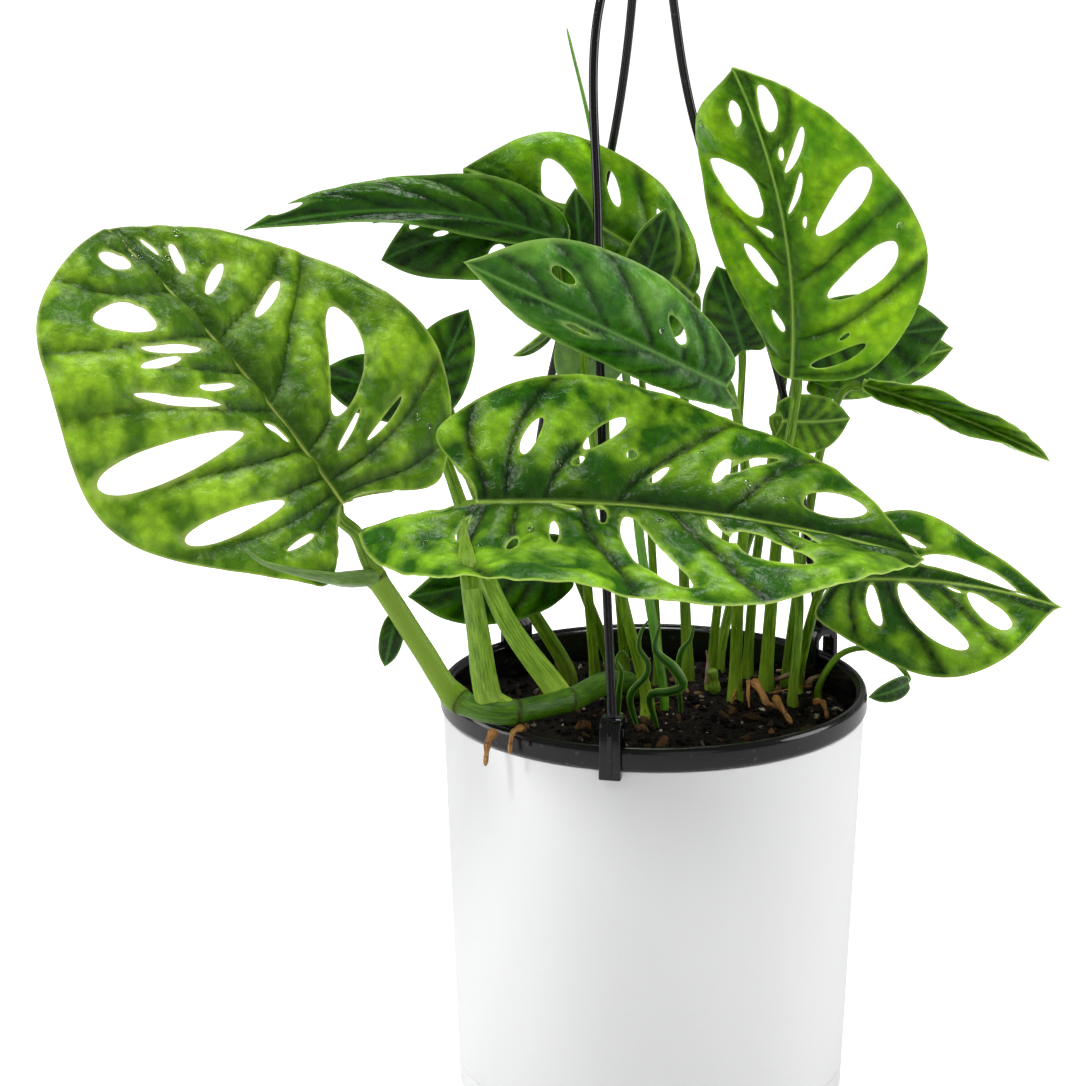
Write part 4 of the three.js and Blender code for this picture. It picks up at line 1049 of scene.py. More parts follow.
def extruded(name, outline, width, bevel):
    """A plate of the given width from an outline of (radius, height) points, bevelled, standing in
    the plane y = 0."""
    mesh = bpy.data.meshes.new(name)
    points = [(r * MM, -width / 2 * MM, z * MM) for r, z in outline]
    mesh.from_pydata(points, [], [tuple(range(len(points)))])
    obj = link(bpy.data.objects.new(name, mesh))
    only(obj)
    bpy.ops.object.mode_set(mode="EDIT")
    bpy.ops.mesh.select_all(action="SELECT")
    bpy.ops.mesh.extrude_region_move(TRANSFORM_OT_translate={"value": (0, width * MM, 0)})
    bpy.ops.mesh.select_all(action="SELECT")
    bpy.ops.mesh.normals_make_consistent(inside=False)
    bpy.ops.object.mode_set(mode="OBJECT")
    edge = obj.modifiers.new("bevel", "BEVEL")
    edge.width = bevel * MM
    edge.segments = 3
    edge.limit_method = "ANGLE"
    edge.angle_limit = math.radians(24)
    apply_modifiers(obj)
    return obj


def nursery_radius(z):
    """Inside radius of the black inner pot at height z, in millimetres."""
    top = RIM_RADIUS / MM - 4.2
    return top - 9 * (POT_HEIGHT / MM - z) / (POT_HEIGHT / MM)


def body_radius(z):
    """Outside radius of the white pot at height z, in millimetres."""
    low, high = SAUCER_RADIUS / MM, COVER_RADIUS / MM
    top = COVER_TOP / MM
    return low + (high - low) * (z - SAUCER_TOP / MM) / (top - SAUCER_TOP / MM)


def grains(name, places, sizes, seed, roughness, squash):
    """Many small uneven grains as one mesh. Each is a ball of a few dozen faces, dented by noise."""
    bpy.ops.mesh.primitive_ico_sphere_add(subdivisions=2, radius=1, location=(0, 0, 0))
    ball = bpy.context.object
    unit_points = np.array([v.co for v in ball.data.vertices])
    faces = [tuple(p.vertices) for p in ball.data.polygons]
    bpy.data.objects.remove(ball)
    dice = random.Random(seed)
    points, all_faces = [], []
    for k, (where, size) in enumerate(zip(places, sizes)):
        shift = Vector((k * 3.7, seed, 1.3))
        dents = np.array([1 + roughness * noise.noise(Vector(p) * 1.4 + shift) for p in unit_points])
        shape = unit_points * dents[:, None] * [1, dice.uniform(*squash), dice.uniform(*squash)] * size
        spin = Matrix.Rotation(dice.uniform(0, 6.28), 3, "Z")
        turn = np.array(spin @ Matrix.Rotation(dice.uniform(-0.7, 0.7), 3, "Y"))
        points.append(shape @ turn.T + where)
        all_faces += [tuple(i + k * len(unit_points) for i in face) for face in faces]
    obj = new_mesh(name, np.concatenate(points), all_faces)
    tone = np.repeat([dice.random() for _ in places], len(unit_points))
    point_colours(obj.data, "marks", np.stack([tone] * 4, axis=1))
    return obj


def soil_height(x, y, lumps):
    """Height of the potting mix at a place, in millimetres."""
    p = Vector((x, y, 0))
    h = sum(share * noise.noise(p / width) for share, width in SOIL_WAVES)
    return SOIL_TOP / MM + lumps * h


# ---------------------------------------------------------------- shader groups and materials


def srgb(code):
    """Linear red, green, blue and alpha from a six-digit colour code."""
    parts = [int(code[i : i + 2], 16) / 255 for i in (0, 2, 4)]
    return [c / 12.92 if c <= 0.04045 else ((c + 0.055) / 1.055) ** 2.4 for c in parts] + [1.0]


class Nodes:
    """Adds nodes to one tree. A value given to a socket may be a number, a colour or another socket."""

    def __init__(self, tree):
        self.tree = tree

    def add(self, kind, sockets=None, **settings):
        made = self.tree.nodes.new(kind)
        for key, value in settings.items():
            setattr(made, key, value)
        for key, value in (sockets or {}).items():
            if isinstance(value, bpy.types.NodeSocket):
                self.tree.links.new(value, made.inputs[key])
            else:
                made.inputs[key].default_value = value
        return made

    def mix(self, fac, a, b, blend="MIX"):
        made = self.add("ShaderNodeMix", data_type="RGBA", blend_type=blend)
        for socket, value in ((made.inputs[0], fac), (made.inputs[6], a), (made.inputs[7], b)):
            if isinstance(value, bpy.types.NodeSocket):
                self.tree.links.new(value, socket)
            else:
                socket.default_value = value
        return made.outputs[2]

    def math(self, operation, a, b=0.0, clamp=False):
        made = self.add("ShaderNodeMath", {0: a, 1: b}, operation=operation, use_clamp=clamp)
        return made.outputs[0]

    def spread(self, value, low, high, to_low=0.0, to_high=1.0):
        made = self.add(
            "ShaderNodeMapRange",
            {"Value": value, "From Min": low, "From Max": high, "To Min": to_low, "To Max": to_high},
        )
        return made.outputs[0]

    def stretch(self, vector, scale):
        return self.add("ShaderNodeMapping", {"Vector": vector, "Scale": scale}).outputs[0]

    def noise(self, vector, scale, detail=3.0, rough=0.55):
        sockets = {"Vector": vector, "Scale": scale, "Detail": detail, "Roughness": rough}
        return self.add("ShaderNodeTexNoise", sockets).outputs["Fac"]


def new_group(name, inputs, outputs):
    """A shader node group with named sockets, given as (name, kind, default)."""
    tree = bpy.data.node_groups.new(name, "ShaderNodeTree")
    for label, kind, default in inputs:
        socket = tree.interface.new_socket(name=label, in_out="INPUT", socket_type=f"NodeSocket{kind}")
        if default is not None:
            socket.default_value = default
    for label, kind in outputs:
        tree.interface.new_socket(name=label, in_out="OUTPUT", socket_type=f"NodeSocket{kind}")
    nodes = Nodes(tree)
    return nodes, nodes.add("NodeGroupInput").outputs, nodes.add("NodeGroupOutput").inputs


def leaf_pattern_group():
    """Colour, roughness and relief of a leaf: sunlit patches, shade along the veins, pale rib and
    margin, and a fine net of cells."""
    green = (0.1, 0.3, 0.02, 1)
    nodes, given, result = new_group(
        "leaf_pattern",
        [
            ("Marks", "Color", green), ("Vein Zone", "Float", 0.0), ("Zones", "Color", green),
            ("Base", "Color", green), ("Patch", "Color", green), ("Shade", "Color", green),
            ("Rib", "Color", green), ("Margin", "Color", green),
            ("Patch Scale", "Float", 70.0), ("Patch Amount", "Float", 0.8), ("Rib Shade", "Float", 0.6),
            ("Vein Shade", "Float", 0.5), ("Net Depth", "Float", 1.0), ("Gloss", "Float", 0.3),
        ],
        [("Color", "Color"), ("Roughness", "Float"), ("Height", "Float")],
    )
    link_to = nodes.tree.links.new
    marks = nodes.add("ShaderNodeSeparateColor", {"Color": given["Marks"]}).outputs
    zones = nodes.add("ShaderNodeSeparateColor", {"Color": given["Zones"]}).outputs
    where = nodes.add("ShaderNodeTexCoord").outputs["Object"]
    big = nodes.noise(where, given["Patch Scale"], 4.0, 0.6)
    fine = nodes.noise(where, 900.0, 4.0, 0.6)
    medium = nodes.noise(where, 240.0, 3.0, 0.6)
    # Painted light: the Patch colour is laid as sunlit parts where the lumps raise the blade (hills) and in
    # large noise patches. It is kept off the midrib.
    hills = nodes.math("MULTIPLY_ADD", zones["Blue"], 0.62)
    hills.node.inputs[2].default_value = -0.31
    patch = nodes.spread(nodes.math("ADD", big, hills), 0.30, 0.76)
    away = nodes.spread(zones["Red"], 0.05, 0.7, 1.0, 0.15)
    patch = nodes.math("MULTIPLY", nodes.math("MULTIPLY", patch, away), given["Patch Amount"])
    colour = nodes.mix(patch, given["Base"], given["Patch"])
    # Painted shade: the Shade colour darkens the blade along its side veins and its midrib, where the creases
    # lie in shade. Noise makes it uneven.
    vein_side = nodes.math("MULTIPLY", given["Vein Zone"], given["Vein Shade"])
    rib_side = nodes.math("MULTIPLY", zones["Red"], given["Rib Shade"])
    uneven = nodes.spread(medium, 0.3, 0.6, 0.55, 1.0)
    painted_crease_shade = nodes.math("MULTIPLY", nodes.math("MAXIMUM", vein_side, rib_side), uneven)
    colour = nodes.mix(painted_crease_shade, colour, given["Shade"])
    cells = nodes.add(
        "ShaderNodeTexVoronoi", {"Vector": where, "Scale": 300.0, "Smoothness": 0.6}, feature="SMOOTH_F1",
    ).outputs["Distance"]
    cell = nodes.spread(cells, 0.15, 0.75, 1.0, 0.0)
    cell_tone = nodes.spread(cell, 0.0, 1.0, 0.8, 1.14)
    speckle = nodes.math("MULTIPLY", nodes.spread(fine, 0.3, 0.7, 0.9, 1.1), cell_tone)
    grey = nodes.add("ShaderNodeCombineColor", {"Red": speckle, "Green": speckle, "Blue": speckle}).outputs[0]
    colour = nodes.mix(1.0, colour, grey, "MULTIPLY")
    # Painted shade: a thin dark line of the Shade colour in the sunken side veins.
    colour = nodes.mix(nodes.math("MULTIPLY", marks["Red"], 0.6), colour, given["Shade"])
    colour = nodes.mix(nodes.math("MULTIPLY", marks["Green"], 0.9), colour, given["Rib"])
    colour = nodes.mix(nodes.math("MULTIPLY", marks["Blue"], 0.6), colour, given["Margin"])
    link_to(colour, result["Color"])
    rough = nodes.math("MULTIPLY_ADD", medium, 0.22)
    rough.node.inputs[2].default_value = -0.11
    link_to(nodes.math("ADD", rough, given["Gloss"]), result["Roughness"])
    wrinkle = nodes.add("ShaderNodeTexNoise", {
        "Vector": where, "Scale": 330.0, "Detail": 3.0, "Roughness": 0.5, "Distortion": 0.8,
    }).outputs["Fac"]
    net = nodes.math("MULTIPLY_ADD", cell, 0.55)
    link_to(nodes.math("MULTIPLY_ADD", wrinkle, 1.8), net.node.inputs[2])
    link_to(nodes.math("MULTIPLY", fine, 0.5), net.node.inputs[2].links[0].from_node.inputs[2])
    link_to(nodes.math("MULTIPLY", net, given["Net Depth"]), result["Height"])
    return nodes.tree


def stem_grain_group():
    """Colour, roughness and relief of a stem: streaks along it, pale foot and edges, brown scars."""
    green = (0.2, 0.4, 0.05, 1)
    nodes, given, result = new_group(
        "stem_grain",
        [
            ("Marks", "Color", green), ("Grain", "Vector", None), ("Base", "Color", green),
            ("Streak", "Color", green), ("Foot", "Color", green), ("Scar", "Color", green),
        ],
        [("Color", "Color"), ("Roughness", "Float"), ("Height", "Float")],
    )
    link_to = nodes.tree.links.new
    marks = nodes.add("ShaderNodeSeparateColor", {"Color": given["Marks"]}).outputs
    where = nodes.add("ShaderNodeTexCoord").outputs["Object"]
    stretched = nodes.stretch(given["Grain"], (14.0, 14.0, 0.7))
    streaks = nodes.noise(stretched, 1.6, 4.0, 0.65)
    blotches = nodes.noise(where, 150.0, 3.0, 0.6)
    specks = nodes.noise(where, 1400.0, 2.0, 0.5)
    colour = nodes.mix(nodes.spread(streaks, 0.38, 0.66), given["Base"], given["Streak"])
    dim = nodes.spread(blotches, 0.3, 0.7, 0.78, 1.12)
    grey = nodes.add("ShaderNodeCombineColor", {"Red": dim, "Green": dim, "Blue": dim}).outputs[0]
    colour = nodes.mix(1.0, colour, grey, "MULTIPLY")
    colour = nodes.mix(nodes.math("MULTIPLY", marks["Green"], 0.7), colour, given["Foot"])
    scar = nodes.math("MULTIPLY", marks["Red"], nodes.spread(blotches, 0.2, 0.5, 0.5, 1.0), True)
    colour = nodes.mix(scar, colour, given["Scar"])
    link_to(colour, result["Color"])
    rough = nodes.spread(streaks, 0.2, 0.8, 0.26, 0.46)
    link_to(nodes.math("MULTIPLY_ADD", scar, 0.3), result["Roughness"])
    link_to(rough, result["Roughness"].links[0].from_node.inputs[2])
    relief = nodes.math("MULTIPLY_ADD", streaks, 0.8)
    link_to(nodes.math("MULTIPLY", specks, 0.2), relief.node.inputs[2])
    link_to(relief, result["Height"])
    return nodes.tree


def moulded_group():
    """Colour, roughness and relief of moulded plastic: faint flow marks, fine scuffs and dust."""
    nodes, given, result = new_group(
        "moulded_plastic",
        [
            ("Base", "Color", (0.5, 0.5, 0.5, 1)), ("Dust", "Color", (0.5, 0.5, 0.5, 1)),
            ("Dust Amount", "Float", 0.1), ("Gloss", "Float", 0.3), ("Unevenness", "Float", 0.1),
        ],
        [("Color", "Color"), ("Roughness", "Float"), ("Height", "Float")],
    )
    link_to = nodes.tree.links.new
    where = nodes.add("ShaderNodeTexCoord").outputs["Object"]
    flow = nodes.noise(nodes.stretch(where, (1.0, 1.0, 0.25)), 26.0, 3.0)
    scuffs = nodes.noise(nodes.stretch(where, (1.0, 1.0, 6.0)), 120.0, 5.0, 0.7)
    peel = nodes.noise(where, 700.0, 2.0, 0.5)
    specks = nodes.noise(where, 520.0, 2.0, 0.4)
    even = nodes.math("SUBTRACT", 1.0, given["Unevenness"])
    shade = nodes.spread(flow, 0.3, 0.7, 0.0, 1.0)
    link_to(even, shade.node.inputs["To Min"])
    grey = nodes.add("ShaderNodeCombineColor", {"Red": shade, "Green": shade, "Blue": shade}).outputs[0]
    colour = nodes.mix(1.0, given["Base"], grey, "MULTIPLY")
    dust = nodes.math("MULTIPLY", nodes.spread(specks, 0.68, 0.74), given["Dust Amount"], True)
    colour = nodes.mix(dust, colour, given["Dust"])
    link_to(colour, result["Color"])
    rough = nodes.math("MULTIPLY_ADD", nodes.spread(scuffs, 0.4, 0.7), 0.12)
    link_to(given["Gloss"], rough.node.inputs[2])
    link_to(rough, result["Roughness"])
    skin = nodes.math("ADD", nodes.math("MULTIPLY", peel, 0.3), nodes.math("MULTIPLY", scuffs, 0.2))
    link_to(skin, result["Height"])
    return nodes.tree


def crumb_group():
    """Colour, roughness and relief of loose bits: each bit's own tone, with fine dirt over it."""
    nodes, given, result = new_group(
        "crumbs",
        [("Marks", "Color", (0.5, 0.5, 0.5, 1)), ("Dark", "Color", (0.1, 0.1, 0.1, 1)),
         ("Light", "Color", (0.5, 0.5, 0.5, 1)), ("Dirt", "Color", (0.02, 0.015, 0.01, 1)),
         ("Dirt Amount", "Float", 0.5)],
        [("Color", "Color"), ("Roughness", "Float"), ("Height", "Float")],
    )
    link_to = nodes.tree.links.new
    where = nodes.add("ShaderNodeTexCoord").outputs["Object"]
    tone = nodes.add("ShaderNodeSeparateColor", {"Color": given["Marks"]}).outputs["Red"]
    grit = nodes.noise(where, 1100.0, 4.0, 0.65)
    smear = nodes.noise(where, 300.0, 3.0, 0.6)
    colour = nodes.mix(tone, given["Dark"], given["Light"])
    dirt = nodes.math("MULTIPLY", nodes.spread(smear, 0.42, 0.62), given["Dirt Amount"], True)
    colour = nodes.mix(dirt, colour, given["Dirt"])
    link_to(colour, result["Color"])
    link_to(nodes.spread(grit, 0.3, 0.7, 0.55, 0.95), result["Roughness"])
    link_to(grit, result["Height"])
    return nodes.tree


def group_named(name):
    makers = dict(
        leaf_pattern=leaf_pattern_group, stem_grain=stem_grain_group,
        moulded_plastic=moulded_group, crumbs=crumb_group,
    )
    return bpy.data.node_groups.get(name) or makers[name]()


def finish_from(name, group, values, bump, attributes=(), **shader):
    """A material whose shader takes colour, roughness and relief from a group. attributes pairs a
    group's socket with the mesh attribute that feeds it."""
    made = bpy.data.materials.get(name)
    if made:
        return made
    made = bpy.data.materials.new(name)
    made.use_nodes = True
    nodes = Nodes(made.node_tree)
    surface = made.node_tree.nodes["Principled BSDF"]
    pattern = nodes.add("ShaderNodeGroup", node_tree=group_named(group))
    for key, value in values.items():
        pattern.inputs[key].default_value = value
    for attribute, sockets in attributes:
        source = nodes.add("ShaderNodeAttribute", attribute_name=attribute)
        for output, socket in sockets:
            made.node_tree.links.new(source.outputs[output], pattern.inputs[socket])
    relief = nodes.add("ShaderNodeBump", {"Height": pattern.outputs["Height"], "Distance": bump * MM})
    relief.inputs["Strength"].default_value = 1.0
    made.node_tree.links.new(pattern.outputs["Color"], surface.inputs["Base Color"])
    made.node_tree.links.new(pattern.outputs["Roughness"], surface.inputs["Roughness"])
    made.node_tree.links.new(relief.outputs["Normal"], surface.inputs["Normal"])
    for key, value in shader.items():
        surface.inputs[key.replace("_", " ").title().replace("Ior", "IOR")].default_value = value
    return made


LEAF_COLOURS = {
    # base, patch (painted light on the bulges), shade (painted shade along the veins and midrib), rib,
    # margin, patch scale, patch amount, rib shade, vein shade (strength of the painted shade by the midrib
    # and side veins), net, gloss
    "quilted": ("4c7c08", "9ccc2a", "103400", "b9cf62", "c3d873", 42, 0.95, 0.80, 0.75, 1.0, 0.34),
    "mottled": ("2c6406", "94cc26", "062400", "9cc04c", "b9dc5c", 60, 0.95, 0.85, 1.0, 0.9, 0.28),
    "vivid": ("5ea004", "a4de18", "0a3002", "9cc850", "a4cc50", 48, 1.0, 1.0, 0.85, 0.8, 0.32),
    "sheen": ("3a8014", "86c648", "062a02", "6ba044", "b0dc70", 65, 0.95, 0.65, 0.9, 0.7, 0.28),
    "deep": ("2c6404", "68a614", "061e00", "44782a", "8cbc50", 55, 0.9, 0.6, 0.85, 0.8, 0.27),
}


def leaf_materials(finish):
    """The blade's upper face, under face, cut edge and ribs."""
    base, patch, shade, rib, margin, scale, amount, rib_shade, vein_shade, net, gloss = LEAF_COLOURS[finish]
    feeds = [("marks", [("Color", "Marks"), ("Alpha", "Vein Zone")]), ("zones", [("Color", "Zones")])]
    tones = {
        "Base": srgb(base), "Patch": srgb(patch), "Shade": srgb(shade), "Rib": srgb(rib),
        "Margin": srgb(margin),
        "Patch Scale": scale, "Patch Amount": amount, "Rib Shade": rib_shade, "Vein Shade": vein_shade,
        "Net Depth": net, "Gloss": gloss,
    }
    upper = finish_from(
        f"leaf_{finish}_upper", "leaf_pattern", tones, 0.35, feeds, specular_ior_level=0.22,
    )

    def paler(code, share):
        return [a + (b - a) * share for a, b in zip(srgb(code), srgb("8fb860"))]

    under_tones = dict(tones)
    under_tones.update({
        "Base": paler(base, 0.45), "Patch": paler(patch, 0.35), "Shade": paler(shade, 0.45),
        "Rib Shade": 0.15, "Vein Shade": 0.25, "Gloss": 0.5, "Patch Amount": 0.5,
    })
    under = finish_from(f"leaf_{finish}_under", "leaf_pattern", under_tones, 0.5, feeds)
    edge_tones = dict(under_tones)
    edge_tones.update({"Base": srgb(margin), "Patch": srgb(rib), "Patch Amount": 0.4})
    edge = finish_from(f"leaf_{finish}_edge", "leaf_pattern", edge_tones, 0.2, feeds)
    rib_tones = dict(under_tones)
    rib_tones.update({"Base": srgb(rib), "Patch": srgb(rib), "Shade": srgb(patch)})
    ribs = finish_from(f"leaf_{finish}_rib", "leaf_pattern", rib_tones, 0.3, feeds)
    return [upper, under, edge, ribs]


def stem_material(name, base, streak, foot, scar, bump=0.25, **shader):
    feeds = [("marks", [("Color", "Marks")]), ("grain", [("Vector", "Grain")])]
    values = {"Base": srgb(base), "Streak": srgb(streak), "Foot": srgb(foot), "Scar": srgb(scar)}
    return finish_from(name, "stem_grain", values, bump, feeds, **shader)


def plastic_material(name, base, dust, dust_amount, gloss, unevenness, bump, **shader):
    values = {
        "Base": [*base, 1], "Dust": [*dust, 1], "Dust Amount": dust_amount, "Gloss": gloss,
        "Unevenness": unevenness,
    }
    return finish_from(name, "moulded_plastic", values, bump, **shader)


def crumb_material(name, dark, light, dirt_amount, bump=0.6):
    values = {"Dark": [*dark, 1], "Light": [*light, 1], "Dirt Amount": dirt_amount}
    feeds = [("marks", [("Color", "Marks")])]
    return finish_from(name, "crumbs", values, bump, feeds, specular_ior_level=0.12)


def water_material():
    made = bpy.data.materials.get("water") or bpy.data.materials.new("water")
    made.use_nodes = True
    surface = made.node_tree.nodes["Principled BSDF"]
    surface.inputs["Base Color"].default_value = (1, 1, 1, 1)
    surface.inputs["Roughness"].default_value = 0.0
    surface.inputs["IOR"].default_value = 1.33
    surface.inputs["Transmission Weight"].default_value = 1.0
    return made


def black_plastic(colours):
    return plastic_material(
        "moulded_black", colours.black, (0.12, 0.12, 0.12), 0.3, 0.1, 0.3, 0.05, specular_ior_level=0.4,
    )


# ---------------------------------------------------------------- operators


class MONSTERA_OT_stage(bpy.types.Operator):
    """Makes the pale floor, the soft studio light and the camera"""

    bl_idname = "monstera.stage"
    bl_label = "Floor, lights and camera"

    def execute(self, context):
        sizes = context.scene.monstera_sizes
        colours = context.scene.monstera_colours
        bpy.ops.mesh.primitive_circle_add(vertices=96, radius=6, fill_type="NGON", location=(0, 0, 0))
        floor = context.object
        floor.name = "floor"
        paper = plastic_material(
            "studio_floor", colours.floor, (0.9, 0.9, 0.9), 0.1, 0.75, 0.01, 0.02, specular_ior_level=0.1,
        )
        surface = paper.node_tree.nodes["Principled BSDF"]
        surface.inputs["Emission Color"].default_value = (1, 1, 1, 1)
        sight = Nodes(paper.node_tree).add("ShaderNodeLightPath").outputs["Is Camera Ray"]
        paper.node_tree.links.new(sight, surface.inputs["Emission Strength"])
        floor.data.materials.append(paper)
        world = bpy.data.worlds.new("studio")
        context.scene.world = world
        world.use_nodes = True
        background = world.node_tree.nodes["Background"]
        background.inputs["Color"].default_value = (1, 1, 1, 1)
        air = Nodes(world.node_tree)
        sight = air.add("ShaderNodeLightPath").outputs["Is Camera Ray"]
        world.node_tree.links.new(air.spread(sight, 0, 1, WORLD_LIGHT, 1.0), background.inputs["Strength"])
        for name, place_m, size, power in LIGHTS:
            light = bpy.data.lights.new(name, "AREA")
            light.shape = "DISK"
            light.size = size
            light.energy = power
            lamp = link(bpy.data.objects.new(name, light))
            lamp.location = place_m
            aim = Vector((0, 0, 0.25)) - Vector(place_m)
            lamp.rotation_euler = aim.to_track_quat("-Z", "Y").to_euler()
        lens = bpy.data.cameras.new("camera")
        lens.lens = sizes.lens
        lens.sensor_width = 36
        lens.clip_start, lens.clip_end = 0.05, 50
        camera = link(bpy.data.objects.new("camera", lens))
        camera.location = CAMERA_PLACE
        camera.rotation_euler = (math.radians(90 - CAMERA_TILT), 0, 0)
        context.scene.camera = camera
        context.scene.view_settings.view_transform = "Standard"
        return {"FINISHED"}


class MONSTERA_OT_pots(bpy.types.Operator):
    """Turns the white outer pot, its saucer and the black inner pot"""

    bl_idname = "monstera.pots"
    bl_label = "Saucer and pots"

    def execute(self, context):
        colours = context.scene.monstera_colours
        white = plastic_material(
            "moulded_white", colours.pot, (0.70, 0.70, 0.70), 0.1, 0.36, 0.025, 0.05, specular_ior_level=0.45,
        )
        black = black_plastic(colours)
        foot = body_radius(0)
        seam = SAUCER_TOP / MM
        inner = foot - 1.8
        saucer = turned("saucer_dish", rounded([
            (0, 0.9), (foot - 12, 0.9), (foot - 13, 0), (foot, 0), (body_radius(seam), seam),
            (body_radius(seam) - 1.8, seam), (inner, 2), (0, 2),
        ], 3.2, 6))
        smooth_shading(saucer)
        saucer.data.materials.append(white)
        keep(saucer, "white_plastic", "saucer")
        top = COVER_TOP / MM
        cover = turned("outer_pot", rounded([
            (0, 2.3), (inner - 0.3, 2.3), (inner - 0.3, seam + 0.3), (body_radius(seam), seam + 0.3),
            (body_radius(top), top), (body_radius(top) - 1.8, top), (inner - 2.1, 4.3), (0, 4.3),
        ], 0.5, 3))
        smooth_shading(cover)
        cover.data.materials.append(white)
        keep(cover, "white_plastic", "cover_pot")
        rim, high = RIM_RADIUS / MM, POT_HEIGHT / MM
        band, lip = high - 8, nursery_radius(high)
        floor_z = 4.6
        pot = turned("inner_pot", rounded([
            (0, floor_z), (nursery_radius(floor_z) + 1.3, floor_z), (nursery_radius(band) + 1.3, band),
            (rim - 0.7, band), (rim, band + 1.2), (rim - 0.25, high - 1.4), (rim - 1.1, high),
            (lip + 1.5, high - 0.15), (lip + 1.2, high - 0.9), (lip + 0.1, high - 1.5),
            (nursery_radius(floor_z + 1.3), floor_z + 1.3), (0, floor_z + 1.3),
        ], 0.7, 4))
        smooth_shading(pot)
        pot.data.materials.append(black)
        keep(pot, "black_plastic", "nursery_pot")
        return {"FINISHED"}


class MONSTERA_OT_soil(bpy.types.Operator):
    """Makes the lumpy potting mix with its perlite, bark and crumbs"""

    bl_idname = "monstera.soil"
    bl_label = "Soil"

    def execute(self, context):
        sizes = context.scene.monstera_sizes
        colours = context.scene.monstera_colours
        lumps = sizes.soil_lumps / MM
        edge = nursery_radius(SOIL_TOP / MM) - 0.3
        foot = nursery_radius(SOIL_FOOT) - 0.3
        radial = [(r, SOIL_TOP / MM) for r in np.linspace(edge, 0, 62)]
        soil = turned("soil_bed", [(0, SOIL_FOOT), (foot, SOIL_FOOT)] + radial, 330)
        count = len(soil.data.vertices)
        points = np.zeros(count * 3)
        soil.data.vertices.foreach_get("co", points)
        points = points.reshape(-1, 3) / MM
        for p in points:
            if p[2] > SOIL_TOP / MM - 1:
                p[2] = soil_height(p[0], p[1], lumps)
        soil.data.vertices.foreach_set("co", (points * MM).ravel())
        soil.data.update()
        tone = np.array([0.5 + 0.5 * noise.noise(Vector(p) / 3.0) for p in points])
        point_colours(soil.data, "marks", np.stack([tone] * 4, axis=1))
        smooth_shading(soil, 60)
        dark = colours.soil
        soil.data.materials.append(crumb_material("potting_mix", dark, [c * 4 for c in dark], 0.8, 1.2))
        keep(soil, "soil", "soil")
        dice = random.Random(11)

        def spots(number, low, high, sink):
            places, radii = [], []
            while len(places) < number:
                x, y = dice.uniform(-edge, edge), dice.uniform(-edge, edge)
                if math.hypot(x, y) > edge - 2:
                    continue
                size = low + (high - low) * dice.random() ** 2.5
                places.append(np.array([x, y, soil_height(x, y, lumps) + size * sink]))
                radii.append(size)
            return places, radii

        perlite = grains("perlite_bits", *spots(sizes.perlite_bits, 0.25, 1.5, 0.2), 3, 0.9, (0.35, 0.9))
        perlite.data.materials.append(
            crumb_material("perlite", [c * 0.3 for c in colours.perlite], colours.perlite, 0.85)
        )
        keep(perlite, "soil")
        bark = grains("bark_chips", *spots(sizes.bark_chips, 0.7, 3.6, 0.15), 5, 0.6, (0.28, 0.6))
        bark.data.materials.append(
            crumb_material("bark", [c * 0.25 for c in colours.bark], [c * 1.5 for c in colours.bark], 0.6)
        )
        keep(bark, "soil")
        crumbs = grains("soil_crumbs", *spots(900, 0.5, 1.7, 0.3), 8, 0.7, (0.6, 1.0))
        crumbs.data.materials.append(crumb_material("soil_crumb", dark, [c * 4 for c in dark], 0.5))
        keep(crumbs, "soil")
        return {"FINISHED"}


